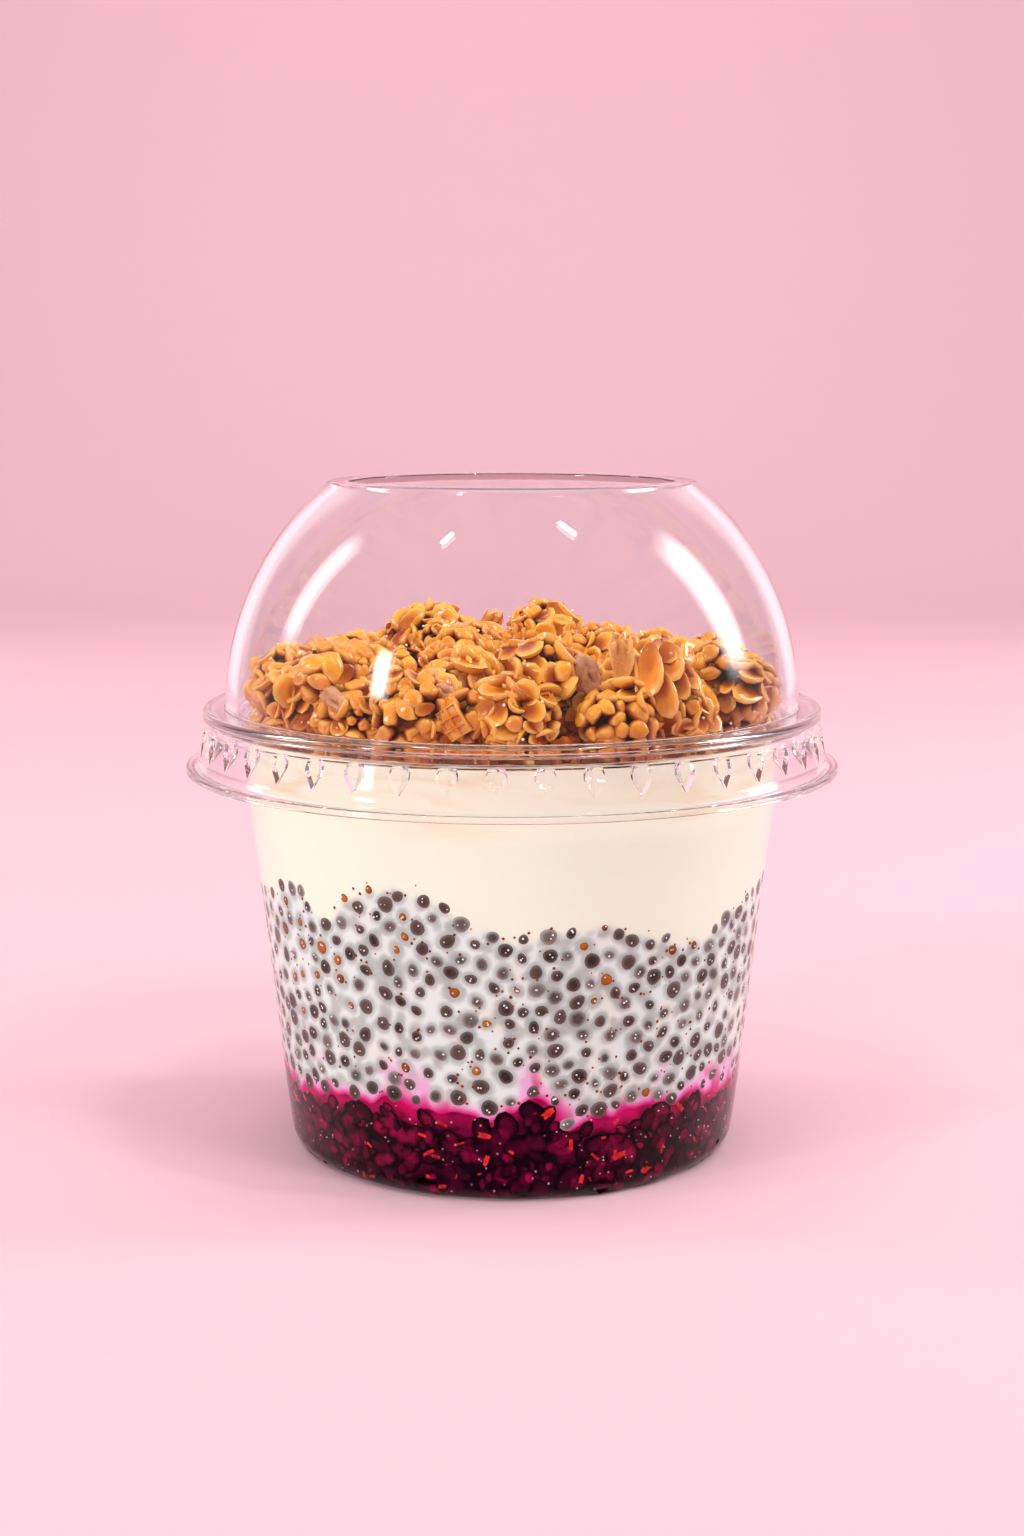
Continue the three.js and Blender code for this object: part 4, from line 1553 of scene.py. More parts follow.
    def build(self) -> None:
        """Makes the pudding, its seeds and its specks."""
        dice = Dice(23)
        seeds = self.wall_seeds(dice)
        log.info("%d seeds on the wall", len(seeds))
        self.build_seeds(seeds, dice)
        self.build_specks(dice)
        sunken = [self.drawn_seed(dice) for _ in range(self.sunken)]
        near, behind = self.tree(seeds), self.tree(sunken)
        shape = Layer(self.cup, COMPOTE_TOP, PUDDING_TOP, self.rows).shape()
        set_marks(
            shape,
            gel=lambda point: smooth_share(*self.gel, seeds[near.find(point)[1]].distance(point)),
            ghost=lambda point: smooth_share(*self.ghost, sunken[behind.find(point)[1]].distance(point)),
            stain=self.stained,
            juice=self.juicy,
            cream=self.creamy,
        )
        make_piece(as_mesh(shape, "chia_pudding"), self.milk, ["chia_pudding"])

    @staticmethod
    def tree(seeds: Sequence[Seed]) -> kdtree.KDTree:
        """What finds the seed nearest to a point."""
        tree = kdtree.KDTree(len(seeds))
        for number, seed in enumerate(seeds):
            tree.insert(seed.place, number)
        tree.balance()
        return tree

    def above_juice(self, point: Vector) -> Pair:
        """The height above the compote, and how far the juice has crept up there, in millimetres."""
        above = point.z - COMPOTE_TOP.height(azimuth_of(point))
        patches = noise.noise(point * self.creep_patch)
        return above, lerp(*self.creep, smooth_share(-0.2, 0.45, patches))

    def stained(self, point: Vector) -> float:
        """How lilac the pudding is."""
        above, creep = self.above_juice(point)
        return smooth_share(creep * 1.3, creep * 0.2, above)

    def juicy(self, point: Vector) -> float:
        """How full of juice the pudding is."""
        above, creep = self.above_juice(point)
        fingers = smooth_share(-0.05, 0.45, noise.noise(Vector((point.x, point.y, point.z * 0.35)) * 0.4))
        return smooth_share(1.5 + creep * fingers, 0.0, above)

    @staticmethod
    def creamy(point: Vector) -> float:
        """How creamy the pudding is towards its top."""
        below = PUDDING_TOP.height(azimuth_of(point)) - point.z
        return smooth_share(2.2, 0.2, below)


# --- Cream ---


@dataclass
class Cream:
    """The smooth cream between the pudding and the granola."""

    cup: Cup
    rows: int = 40
    band_foot: float = 54
    band_top: float = 63
    finish: Finish = IvoryCream("ivory cream")

    def build(self) -> None:
        """Makes the cream."""
        shape = Layer(self.cup, PUDDING_TOP, CREAM_TOP, self.rows, columns=360).shape()
        # band: where the cream is painted warmer going up to make up for the floor's light, and where its
        # peach bands show.
        set_marks(shape, band=lambda point: smooth_share(self.band_foot, self.band_top, point.z))
        make_piece(as_mesh(shape, "cream"), self.finish, ["cream"])


# --- Granola ---


@dataclass(frozen=True)
class Crest:
    """A place where the heap rises above its even slope."""

    x: float
    y: float
    rise: float
    width: float


@dataclass(frozen=True)
class Ring:
    """A ring of clusters on the heap, the first of them at the azimuth in degrees."""

    radius: float
    count: int
    azimuth: float


class Crowd:
    """Balls that crowd together, and what tells whether a place on one of them lies inside another."""

    def __init__(self, balls: Sequence[Ball], share: float = 0.8) -> None:
        """Keeps the balls, each of which swallows what is within a share of its size from its middle."""
        self.balls = balls
        self.share = share
        self.reach = share * max(ball.size for ball in balls)
        self.tree = kdtree.KDTree(len(balls))
        for number, ball in enumerate(balls):
            self.tree.insert(ball.centre, number)
        self.tree.balance()

    def swallows(self, place: Vector, own: Ball) -> bool:
        """Whether a place lies inside a ball other than its own."""
        for _, number, away in self.tree.find_range(place, self.reach):
            other = self.balls[number]
            if other is not own and away < other.size * self.share:
                return True
        return False


class Style(Enum):
    """What a knot is made of, each with the name of its piece."""

    ROSE = "granola_petals"
    BERRY = "granola_puffs"
    BLOCKS = "granola_blocks"
    FAN = "granola_fans"


# A bit's form, its place and its shade.
Bit = tuple[Form, Matrix, float]


@dataclass(frozen=True)
class Cover(ABC):
    """How a knot of one style is covered with small bits. Sizes are shares of the knot's size.

    Attributes:
        count: how many bits a knot has that nothing else covers.
        lowest: how far down the bits go, as the lowest cosine with the knot's way out.
        halves: the smallest and the largest half length of a bit.
        own_tint: how much of a bit's shade is its own rather than the knot's.
        any_turn: how far either way a bit is turned that may lie in any direction, in radians.
    """

    count: int
    lowest: float
    halves: Pair
    own_tint: float = 0.4
    any_turn: float = 3

    def tint(self, hue: float, dice: Dice) -> float:
        """A bit's shade on a knot of a shade."""
        return lerp(hue, dice.throw(), self.own_tint)

    @abstractmethod
    def bits(self, knot: Ball, outs: Sequence[Vector], dice: Dice) -> Iterator[Bit]:
        """The bits on a knot.

        Args:
            knot: the knot.
            outs: the ways out from its middle to its bits.
            dice: what draws their sizes, turns and shades.

        Yields:
            The form, the place and the shade of each bit.
        """


@dataclass(frozen=True)
class RoseCover(Cover):
    """Overlapping petals whose tips close over the knot's top, and a few puffed grains."""

    stretch: Pair = (1, 1.35)
    widths: Pair = (0.9, 1.35)
    thickness: float = 1.1
    seat: float = 0.74
    closing: Pair = (0.2, 0.7)
    opening: float = 0.9
    lift: float = 0.1
    spread: float = 0.7
    puffs: float = 0.2
    puff_size: float = 0.62
    puff_seat: float = 0.8

    def bits(self, knot: Ball, outs: Sequence[Vector], dice: Dice) -> Iterator[Bit]:
        """The bits on a knot."""
        hue = dice.throw()
        for out in outs:
            half = knot.size * dice.between(*self.halves) * dice.between(*self.stretch)
            tint = self.tint(hue, dice)
            along = knot.out + out * self.spread
            if dice.throw() < self.puffs:
                size = Vector((half, half, half)) * self.puff_size
                place = standing(knot.centre + out * knot.size * self.puff_seat, out, along, size)
                yield Form.PUFF, place, tint
                continue
            lean = out * self.opening - knot.out * dice.between(*self.closing) + Vector((0, 0, self.lift))
            size = Vector((half * dice.between(*self.widths), half, half * self.thickness))
            place = standing(knot.centre + out * knot.size * self.seat, lean.normalized(), along, size)
            yield Form.PETAL, place, tint


@dataclass(frozen=True)
class BerryCover(Cover):
    """Puffed grains, like a berry, and a few petals."""

    lengths: Pair = (1, 1.5)
    petals: float = 0.2
    sink: float = 0.7

    def bits(self, knot: Ball, outs: Sequence[Vector], dice: Dice) -> Iterator[Bit]:
        """The bits on a knot."""
        hue = dice.throw()
        for out in outs:
            half = knot.size * dice.between(*self.halves)
            size = Vector((half, half * dice.between(*self.lengths), half))
            form = Form.PETAL if dice.throw() < self.petals else Form.PUFF
            along = turned_about(out, dice.stray(self.any_turn))
            place = standing(knot.centre + out * (knot.size - half * self.sink), out, along, size)
            yield form, place, self.tint(hue, dice)


@dataclass(frozen=True)
class BlockCover(Cover):
    """Blocks, and a waffle plate on top of the brownest knots."""

    lengths: Pair = (0.9, 1.5)
    sink: float = 0.6
    plated: float = 0.75
    plate: Triple = (1.3, 1.3, 1.1)
    plate_lift: float = 0.5

    def bits(self, knot: Ball, outs: Sequence[Vector], dice: Dice) -> Iterator[Bit]:
        """The bits on a knot."""
        hue = dice.throw()
        for number, out in enumerate(outs):
            half = knot.size * dice.between(*self.halves)
            place = knot.centre + out * (knot.size - half * self.sink)
            along = turned_about(out, dice.stray(self.any_turn))
            if number == 0 and hue > self.plated:
                size = Vector([half * share for share in self.plate])
                yield Form.WAFFLE, standing(place + out * self.plate_lift, out, along, size), hue
                continue
            size = Vector((half, half * dice.between(*self.lengths), half))
            yield Form.BLOCK, standing(place, out, along, size), self.tint(hue, dice)


@dataclass(frozen=True)
class FanCover(Cover):
    """Long petals that lie side by side."""

    width: float = 0.75
    thickness: float = 0.8
    seat: float = 0.75
    lean: float = 0.9
    spread: float = 0.5

    def bits(self, knot: Ball, outs: Sequence[Vector], dice: Dice) -> Iterator[Bit]:
        """The bits on a knot."""
        hue = dice.throw()
        comb = turned_about(knot.out, dice.stray(self.any_turn))
        side = comb.cross(knot.out)
        for out in outs:
            half = knot.size * dice.between(*self.halves)
            lean = (out + side * self.lean).normalized()
            size = Vector((half * self.width, half, half * self.thickness))
            seat = knot.centre + out * knot.size * self.seat
            yield Form.PETAL, standing(seat, lean, comb + out * self.spread, size), self.tint(hue, dice)


@dataclass(frozen=True)
class Feature:
    """A knot of its own style at a place of its own, towards the front where the heap is seen best."""

    style: Style
    place: Triple
    size: float


@dataclass(frozen=True)
class Treat:
    """A single bit that catches the eye: its form, place, half sizes and turn."""

    form: Form
    place: Triple
    size: Triple
    turn: float


@dataclass
class Granola:
    """The heap of glazed granola: clusters of small knots of petals, puffed grains and blocks.

    Attributes:
        middle: the height in the middle of its even slope.
        fall: how far that slope goes down as far out as the reference radius.
        knots_each: how many knots are tried on a cluster.
        knot_lowest: how far down a cluster they go, as the lowest cosine with its way out.
        knot_seat: how far out their tops are, as a share of the cluster's size.
        fillers: how many knots are tried in the valleys between the clusters.
        filler_reach: the share of the foot's area that they lie on.
        filler_depths: how far under the heap's surface their tops are.
        filler_lean: how upright they are, as a share of the foot's radius.
        buried_depth: a knot whose middle is deeper than this in a cluster is left out.
        shadow_depths: how far under the heap's surface the gaps start and finish taking on painted shade.
    """

    lid: Lid
    moulds: Moulds
    foot: float = 67.6
    foot_radius: float = 40.9
    clearance: float = 0.5
    middle: float = 84.5
    fall: float = 5.6
    reference: float = 40
    crests: tuple[Crest, ...] = (Crest(5.5, 0, 3.2, 6), Crest(-16, 2, 3.2, 6), Crest(30, 11, 1.6, 8))
    rings: tuple[Ring, ...] = (Ring(36.3, 17, 3), Ring(25.2, 12, -12), Ring(14, 7, -97), Ring(5.5, 2, 90))
    cluster_radius: float = 6.8
    size_scatter: float = 0.9
    turn_scatter: float = 0.18
    out_scatter: float = 0.6
    up_scatter: float = 1
    knots_each: int = 12
    knot_lowest: float = -0.75
    knot_sizes: Pair = (3.1, 4.9)
    knot_seat: float = 0.98
    knot_sink: float = 0.9
    knot_stray: float = 0.9
    spot_stray: float = 0.16
    fillers: int = 260
    filler_reach: float = 0.86
    filler_sizes: Pair = (2.0, 3.4)
    filler_depths: Pair = (2, 9)
    filler_lean: float = 0.6
    foot_ring: Ring = Ring(37.4, 40, 4)
    foot_sizes: Pair = (2.6, 3.6)
    foot_seat: float = 0.8
    foot_lean: float = 0.4
    foot_stray: float = 0.05
    buried_depth: float = 0.8
    shadow_depths: Pair = (4, 13)
    darkest: float = 0.65
    core_depth: float = 5.5
    core_edge: tuple[Pair, ...] = ((1.5, 0), (5, 2.5))
    core_top_edge: float = 6
    core_lumps_above: float = 3
    core_lump: float = 1.6
    core_lump_fineness: float = 0.28
    heart_share: float = 0.8
    core_rings: int = 14
    core_steps: int = 96
    styles: tuple[Style, ...] = (
        *(Style.ROSE, Style.BERRY, Style.FAN),
        *(Style.ROSE, Style.BLOCKS, Style.ROSE),
        *(Style.BERRY, Style.ROSE, Style.BERRY),
    )
    covers: dict[Style, Cover] = field(
        default_factory=lambda: {
            Style.ROSE: RoseCover(count=21, lowest=-0.45, halves=(0.32, 0.5)),
            Style.BERRY: BerryCover(count=19, lowest=-0.5, halves=(0.28, 0.42)),
            Style.BLOCKS: BlockCover(count=15, lowest=-0.5, halves=(0.32, 0.48)),
            Style.FAN: FanCover(count=16, lowest=-0.45, halves=(0.48, 0.85)),
        }
    )
    beads: int = 700
    bead_halves: Pair = (0.14, 0.3)
    bead_seat: float = 1.07
    bead_stray: float = 0.8
    features: tuple[Feature, ...] = (
        Feature(Style.ROSE, (4, -33.5, 80.5), 5.0),
        Feature(Style.FAN, (21.5, -31, 78.5), 5.2),
        Feature(Style.BERRY, (-27, -26, 79), 5.0),
        Feature(Style.BLOCKS, (-7, -36.5, 74.5), 4.2),
        Feature(Style.FAN, (34, -19, 76.5), 4.4),
        Feature(Style.ROSE, (-16, -34, 77), 4.2),
        Feature(Style.BERRY, (13, -37, 74.5), 3.8),
        Feature(Style.BERRY, (30.5, -17.5, 79.5), 4),
    )
    treats: tuple[Treat, ...] = (
        Treat(Form.WAFFLE, (2.5, -38, 77.5), (2.9, 2.9, 2.6), 0.2),
        Treat(Form.NUT, (10.8, -34, 80), (2.7, 3.3, 2.8), 0.3),
        Treat(Form.FLAKE, (15.5, -33.5, 82), (3.2, 3.9, 3.2), -0.15),
        Treat(Form.NUT, (-9.5, -37, 78), (1.6, 1.9, 1.8), 1.2),
        Treat(Form.NUT, (-25.5, -31.5, 76), (2.0, 3.4, 2.2), 1.1),
        Treat(Form.FLAKE, (-4, 33, 80), (3.0, 3.6, 3.0), 0.4),
        Treat(Form.NUT, (-33, 10, 79), (2.6, 3.2, 2.8), 0.8),
    )
    baked: Finish = BakedGlaze("baked glaze")
    nut: Finish = Morsel(
        "nut halves",
        shade(150, 84, 44), shade(206, 138, 92), shade(232, 176, 130),
        rim_share=0.4, grain=0.9, depth=0.2, wet=0.5, roughness=0.35, shine=0.3,
    )
    papery: Finish = Morsel(
        "papery flakes",
        shade(182, 98, 32), shade(226, 146, 66), shade(250, 192, 118),
        rim_share=0.7, grain=0.3, depth=0.14, wet=0.1, roughness=0.5, shine=0.3,
    )
    # Painted glints: the syrup beads are coloured pale cream to white.
    syrup: Finish = Morsel(
        "syrup beads",
        shade(240, 176, 96), shade(255, 240, 206), shade(255, 250, 236),
        rim_share=0.4, grain=0.4, depth=0.02, wet=1.0, roughness=0.1,
    )

    def height(self, x: float, y: float) -> float:
        """The height of the heap's surface."""
        rise = sum(c.rise * math.exp(-(((x - c.x) ** 2 + (y - c.y) ** 2) / c.width**2)) for c in self.crests)
        return self.middle - self.fall * (x * x + y * y) / self.reference**2 + rise

    def clusters(self) -> list[Ball]:
        """The clusters' places, ring by ring."""
        dice, found = Dice(5), []
        for ring in self.rings:
            for number in range(ring.count):
                step = (number + dice.stray(self.turn_scatter)) * FULL_TURN / ring.count
                radius = ring.radius + dice.stray(self.out_scatter)
                centre = around(radius, math.radians(ring.azimuth) + step, 0)
                size = self.cluster_radius + dice.stray(self.size_scatter)
                centre.z = self.height(centre.x, centre.y) - size + dice.stray(self.up_scatter)
                found.append(Ball(centre, size, Vector((0, 0, 1))))
        return found

    def kept_inside(self, points: np.ndarray) -> np.ndarray:
        """The points, pressed in where they would go through the cup's rim or the dome."""
        kept = points.copy()
        kept[:, 2] = np.maximum(kept[:, 2], self.foot)
        depth = self.lid.dome_wall + self.clearance
        rise = (kept[:, 2] - self.lid.dome_centre) / (self.lid.dome_rise - depth)
        dome = (self.lid.dome_radius - depth) * np.sqrt(1 - rise**2)
        room = np.where(kept[:, 2] > self.lid.cup.rim_top + self.lid.fit_gap, dome, self.foot_radius)
        kept[:, :2] *= np.minimum(1, room / np.hypot(kept[:, 0], kept[:, 1]).clip(0.1))[:, None]
        return kept

    def spots(self, out: Vector, count: int, lowest: float, dice: Dice) -> Iterator[Vector]:
        """Ways out from a ball, spread evenly round the way out, down to the lowest cosine with it."""
        golden = math.pi * (3 - math.sqrt(5))
        start = dice.between(0, FULL_TURN)
        to_pole = Vector((0, 0, 1)).rotation_difference(out)
        for number in range(count):
            level = 1 - (1 - lowest) * (number + 0.5) / count
            way = around(math.sqrt(1 - level * level), start + golden * number, level)
            yield (to_pole @ way + self.strayed(self.spot_stray, dice)).normalized()

    @staticmethod
    def strayed(reach: float, dice: Dice) -> Vector:
        """A drawn step of up to reach along each axis."""
        return Vector([dice.stray(reach) for _ in range(3)])

    def open_spots(self, cover: Cover, knot: Ball, crowd: Crowd, dice: Dice) -> list[Vector]:
        """Ways out from a knot to its bits, without those that end inside another knot of the crowd."""
        outs = self.spots(knot.out, cover.count, cover.lowest, dice)
        return [out for out in outs if not crowd.swallows(knot.centre + out * knot.size, knot)]

    def knots(self, clusters: Sequence[Ball], dice: Dice) -> list[Ball]:
        """The knots on the clusters, in the valleys and round the foot, without those that are buried."""
        found = []
        for cluster in clusters:
            others = [other for other in clusters if other is not cluster]
            drawn = self.cluster_knots(cluster, dice)
            found += [knot for knot in drawn if not self.buried(knot, others)]
        loose = [*self.valley_knots(dice), *self.foot_knots(dice)]
        return found + [knot for knot in loose if not self.buried(knot, clusters)]

    def cluster_knots(self, cluster: Ball, dice: Dice) -> Iterator[Ball]:
        """The knots on a cluster."""
        for out in self.spots(cluster.out, self.knots_each, self.knot_lowest, dice):
            size = dice.between(*self.knot_sizes)
            stands_out = cluster.size * self.knot_seat + dice.stray(self.knot_stray)
            yield Ball(cluster.centre + out * (stands_out - size * self.knot_sink), size, out)

    def valley_knots(self, dice: Dice) -> Iterator[Ball]:
        """The knots under the heap's surface, which fill the valleys between the clusters."""
        for _ in range(self.fillers):
            radius = self.foot_radius * math.sqrt(dice.between(0, self.filler_reach))
            place = around(radius, dice.stray(math.pi), 0)
            size = dice.between(*self.filler_sizes)
            place.z = self.height(place.x, place.y) - dice.between(*self.filler_depths) - size
            out = Vector((place.x, place.y, self.foot_radius * self.filler_lean)).normalized()
            yield Ball(place, size, out)

    def foot_knots(self, dice: Dice) -> Iterator[Ball]:
        """The knots round the heap's foot."""
        ring = self.foot_ring
        for number in range(ring.count):
            azimuth = math.radians(ring.azimuth) + number * FULL_TURN / ring.count
            size = dice.between(*self.foot_sizes)
            turn = azimuth + dice.stray(self.foot_stray)
            place = around(ring.radius, turn, self.foot + size * self.foot_seat)
            yield Ball(place, size, around(1, azimuth, self.foot_lean).normalized())

    def buried(self, knot: Ball, clusters: Sequence[Ball]) -> bool:
        """Whether a knot lies inside one of the clusters."""
        return any((knot.centre - other.centre).length < other.size - self.buried_depth for other in clusters)

    def shadow(self, place: Vector) -> float:
        """How dark the gaps are at a place: more so far down in the heap."""
        below = self.height(place.x, place.y) - place.z
        return smooth_share(*self.shadow_depths, below) * self.darkest

    def core_outline(self) -> list[Pair]:
        """The core's section, from the axis under its foot to the axis at its top."""
        outline = [(0, self.foot)]
        outline += [(self.foot_radius - inwards, self.foot + up) for inwards, up in self.core_edge]
        for ring in range(self.core_rings):
            radius = (self.foot_radius - self.core_top_edge) * (1 - (ring + 0.5) / self.core_rings)
            outline.append((radius, self.height(radius, 0) - self.core_depth))
        return [*outline, (0, self.height(0, 0) - self.core_depth)]

    def build_core(self, clusters: Sequence[Ball]) -> None:
        """Makes the core: a lumpy mound with a rough ball in each cluster, both darkened with painted shade.
        """
        shape = spun(self.core_outline(), self.core_steps)
        for vert in shape.verts:
            if vert.co.z > self.foot + self.core_lumps_above:
                vert.co.z += self.core_lump * noise.noise(vert.co * self.core_lump_fineness) - 1
        # Painted shade: the core is coloured as if deep in the gaps.
        set_marks(shape, tint=lambda point: 0.8, rim=lambda point: 0.0, depth=lambda point: 0.62)
        make_piece(as_mesh(shape, "granola_core"), self.baked, ["granola"], crease=180)
        hearts = Scatter(self.moulds)
        for cluster in clusters:
            size = Vector((cluster.size * self.heart_share,) * 3)
            place = standing(cluster.centre, cluster.out, Vector((0, 1, 0)), size)
            # Painted shade: the hearts are coloured as if deep in the gaps.
            hearts.set_down(Form.PUFF, place, tint=0.8, depth=0.75)
        make_piece(hearts.gathered("granola_hearts", self.kept_inside), self.baked, crease=180)

    def build(self) -> None:
        """Makes the heap."""
        clusters = self.clusters()
        self.build_core(clusters)
        dice = Dice(41)
        featured = [(feature.style, self.ball(feature.place, feature.size)) for feature in self.features]
        kept_free = [ball for _, ball in featured]
        kept_free += [self.ball(treat.place, treat.size[1]) for treat in self.treats]
        knots = [knot for knot in self.knots(clusters, dice) if not self.buried(knot, kept_free)]
        drawn = [(self.styles[int(dice.throw() * len(self.styles))], knot) for knot in knots]
        crowd = Crowd([knot for _, knot in featured + drawn])
        scatters = {style: Scatter(self.moulds) for style in Style}
        for style, knot in featured + drawn:
            cover = self.covers[style]
            for form, place, tint in cover.bits(knot, self.open_spots(cover, knot, crowd, dice), dice):
                scatters[style].set_down(form, place, tint, self.shadow(knot.centre), knot)
        for style, scatter in scatters.items():
            make_piece(scatter.gathered(style.value, self.kept_inside), self.baked, crease=60)
        self.build_beads(knots, dice)
        self.build_treats()

    def ball(self, place: Triple, size: float) -> Ball:
        """The ball of a size at a place, its way out away from the middle of the heap's foot."""
        centre = Vector(place)
        return Ball(centre, size, (centre - Vector((0, 0, self.foot))).normalized())

    def build_treats(self) -> None:
        """Makes the single bits that catch the eye."""
        kinds = {
            Form.WAFFLE: ("waffle_plates", self.baked),
            Form.NUT: ("nut_halves", self.nut),
            Form.FLAKE: ("papery_flakes", self.papery),
        }
        for form, (name, finish) in kinds.items():
            scatter = Scatter(self.moulds)
            for number, treat in enumerate(treat for treat in self.treats if treat.form is form):
                ball = self.ball(treat.place, treat.size[1])
                along = turned_about(ball.out, treat.turn)
                place = standing(ball.centre, ball.out, along, Vector(treat.size))
                scatter.set_down(form, place, tint=0.4 + 0.2 * number)
            make_piece(scatter.gathered(name, self.kept_inside), finish, crease=60)

    def build_beads(self, knots: Sequence[Ball], dice: Dice) -> None:
        """Makes the tiny beads of syrup, coloured pale as painted glints."""
        beads = Scatter(self.moulds)
        for _ in range(self.beads):
            knot = knots[int(dice.throw() * len(knots))]
            out = (knot.out + self.strayed(self.bead_stray, dice)).normalized()
            size = Vector((dice.between(*self.bead_halves),) * 3)
            place = standing(knot.centre + out * knot.size * self.bead_seat, out, turned_about(out, 0), size)
            beads.set_down(Form.SPECK, place, dice.throw())
        make_piece(beads.gathered("syrup_beads", self.kept_inside), self.syrup)


# --- Studio ---


@dataclass
class Softbox:
    """A rectangular lamp that fades towards its edges.

    Attributes:
        name: the lamp's name.
        place: its middle, in metres.
        width: its width in metres.
        height: its height in metres.
        power: its power in watts.
        edge: the share of its width and height over which an edge fades.
        mirrored: whether the clear plastic mirrors it.
        glinting: whether it makes highlights on the food.
        aim: the point that it faces, in metres.
    """

    name: str
    place: Triple
    width: float
    height: float
    power: float
    edge: float = 0.25
    mirrored: bool = True
    glinting: bool = True
    aim: Triple = (0, 0, 0.055)

    def build(self, left_out: bpy.types.Collection) -> None:
        """Makes the lamp and turns it to its aim.

        Args:
            left_out: the pieces that it doesn't shine on unless the clear plastic is to mirror it.
        """
        lamp = bpy.data.lights.new(self.name, "AREA")
        lamp.shape = "RECTANGLE"
        lamp.size, lamp.size_y = self.width, self.height
        lamp.energy = self.power
        nodes = Nodes(lamp)
        place = nodes.add("ShaderNodeNewGeometry", output="Parametric")
        fade = 1.0
        for axis in ("X", "Y"):
            across = nodes.add("ShaderNodeSeparateXYZ", {}, {0: place}, output=axis)
            fade = across.between(0, self.edge) * (1 - across).between(0, self.edge) * fade
        nodes.show(nodes.add("ShaderNodeEmission", {}, {"Strength": fade}))
        holder = bpy.data.objects.new(self.name, lamp)
        holder.location = self.place
        holder.rotation_euler = (Vector(self.aim) - holder.location).to_track_quat("-Z", "Y").to_euler()
        holder.visible_camera = False
        holder.visible_glossy = self.glinting
        if not self.mirrored:
            holder.light_linking.receiver_collection = left_out
        bpy.context.scene.collection.objects.link(holder)


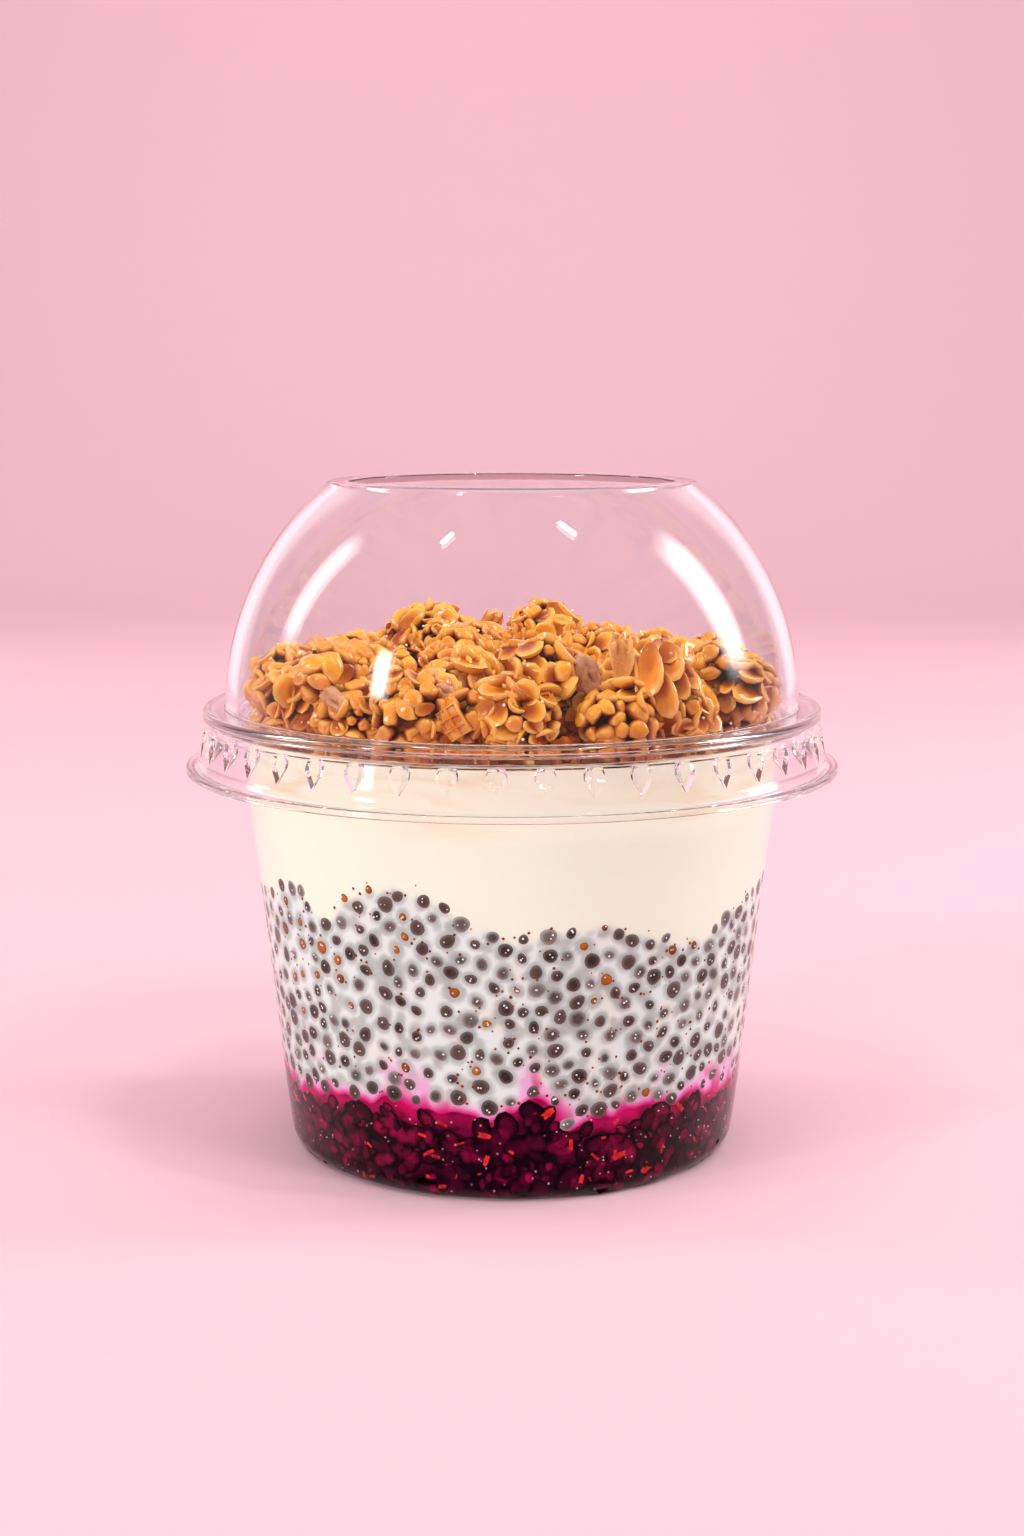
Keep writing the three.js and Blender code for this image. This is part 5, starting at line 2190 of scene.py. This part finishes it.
@dataclass
class Studio:
    """The paper sweep, the lamps and the camera."""

    camera_place: Triple = (0, -0.3805, 0.1238)
    camera_pitch: float = 9.4
    lens: float = 55.85
    paper_width: float = 4.0
    paper_front: float = -1.6
    paper_back: float = 0.9
    sweep_radius: float = 0.5
    sweep_steps: int = 16
    paper_height: float = 2.0
    sky: float = 0.43
    mirrored_sky: float = 0.3
    sky_colour: Colour = shade(248, 252, 253)
    bounces: int = 32
    glossy_bounces: int = 20
    paper: Finish = StudioPaper("studio paper")
    lamps: tuple[Softbox, ...] = (
        Softbox("key", (0.5, -0.45, 0.7), 0.3, 0.3, 4.7, mirrored=False),
        Softbox("left_key", (-0.45, -0.6, 0.5), 0.22, 0.22, 1.7, mirrored=False),
        Softbox("fill", (0.25, -1.1, 0.55), 0.9, 0.6, 1.4, mirrored=False, glinting=False),
        Softbox("backdrop", (0, 0.2, 1.3), 1.6, 0.4, 28.0, mirrored=False, glinting=False, aim=(0, 1.4, 0.7)),
        Softbox("right", (0.62, 0.12, 0.38), 0.20, 0.60, 3.8),
        Softbox("left", (-0.62, 0.16, 0.42), 0.13, 0.50, 1.5),
        Softbox("left_front", (-0.54, -0.42, 0.25), 0.10, 0.23, 3.2),
        Softbox("right_sparkle", (0.26, -0.16, 0.9), 0.035, 0.12, 2.6),
        Softbox("left_sparkle", (-0.3, -0.2, 0.85), 0.03, 0.09, 1.6),
        Softbox("right_back", (0.36, 0.6, 0.25), 0.33, 0.8, 0.4),
        Softbox("left_back", (-0.36, 0.6, 0.25), 0.33, 0.8, 0.4),
    )

    def build_paper(self) -> None:
        """Makes the paper: flat under the bowl and swept up behind it."""
        shape = bmesh.new()
        corners = [(self.paper_front, 0.0), (self.paper_back, 0.0)]
        for step in range(1, self.sweep_steps + 1):
            turn = step / self.sweep_steps * math.pi / 2
            rise = self.sweep_radius * (1 - math.cos(turn))
            corners.append((self.paper_back + self.sweep_radius * math.sin(turn), rise))
        corners.append((self.paper_back + self.sweep_radius, self.paper_height))
        points = [shape.verts.new((-self.paper_width / 2, y, z)) for y, z in corners]
        edges = [shape.edges.new(pair) for pair in zip(points, points[1:])]
        swept = bmesh.ops.extrude_edge_only(shape, edges=edges)
        moved = [part for part in swept["geom"] if isinstance(part, bmesh.types.BMVert)]
        bmesh.ops.translate(shape, vec=(self.paper_width, 0, 0), verts=moved)
        bmesh.ops.recalc_face_normals(shape, faces=shape.faces)
        mesh = as_mesh(shape, "paper")
        mesh.shade_smooth()
        mesh.materials.append(self.paper.material())
        floor = bpy.data.objects.new("paper", mesh)
        bpy.context.scene.collection.objects.link(floor)
        floor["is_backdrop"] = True

    def build_camera(self) -> None:
        """Makes the camera at the height and pitch of the view."""
        lens = bpy.data.cameras.new("camera")
        lens.lens = self.lens
        lens.sensor_width = 36
        lens.clip_start = 0.01
        camera = bpy.data.objects.new("camera", lens)
        camera.location = self.camera_place
        camera.rotation_euler = (math.radians(90 - self.camera_pitch), 0, 0)
        bpy.context.scene.collection.objects.link(camera)
        bpy.context.scene.camera = camera

    @staticmethod
    def clear_pieces() -> bpy.types.Collection:
        """The clear cup and lid, gathered for the lamps that leave them out."""
        clear = bpy.data.collections.new("left out by lamps")
        for name in ("clear_cup", "clear_lid"):
            clear.objects.link(bpy.data.objects[name])
        for member in clear.collection_objects:
            member.light_linking.link_state = "EXCLUDE"
        return clear

    def build(self) -> None:
        """Makes the studio."""
        scene = bpy.context.scene
        self.build_camera()
        self.build_paper()
        left_out = self.clear_pieces()
        for lamp in self.lamps:
            lamp.build(left_out)
        world = bpy.data.worlds.new("studio")
        nodes = Nodes(world)
        mirrored = nodes.add("ShaderNodeLightPath", output="Is Glossy Ray")
        strength = mirrored * (self.mirrored_sky - self.sky) + self.sky
        nodes.show(nodes.add("ShaderNodeBackground", {}, {"Color": self.sky_colour, "Strength": strength}))
        scene.world = world
        scene.view_settings.view_transform = "Standard"
        scene.cycles.max_bounces = self.bounces
        scene.cycles.glossy_bounces = self.glossy_bounces
        scene.cycles.transmission_bounces = self.bounces
        scene.cycles.transparent_max_bounces = self.bounces


# --- All of it ---


def main() -> None:
    """Builds the bowl from its foot up, and its studio."""
    logging.basicConfig(level=logging.INFO, format="%(message)s")
    moulds = Moulds()
    cup = Cup()
    lid = Lid(cup)
    food = (Compote(cup, moulds), Pudding(cup, moulds), Cream(cup), Granola(lid, moulds))
    for part in (*food, cup, lid, Studio()):
        part.build()
    sizes = {"cad": cad_box, "visual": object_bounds()}
    {name: [list(corner) for corner in box] for name, box in sizes.items()}


if __name__ == "__main__":
    main()
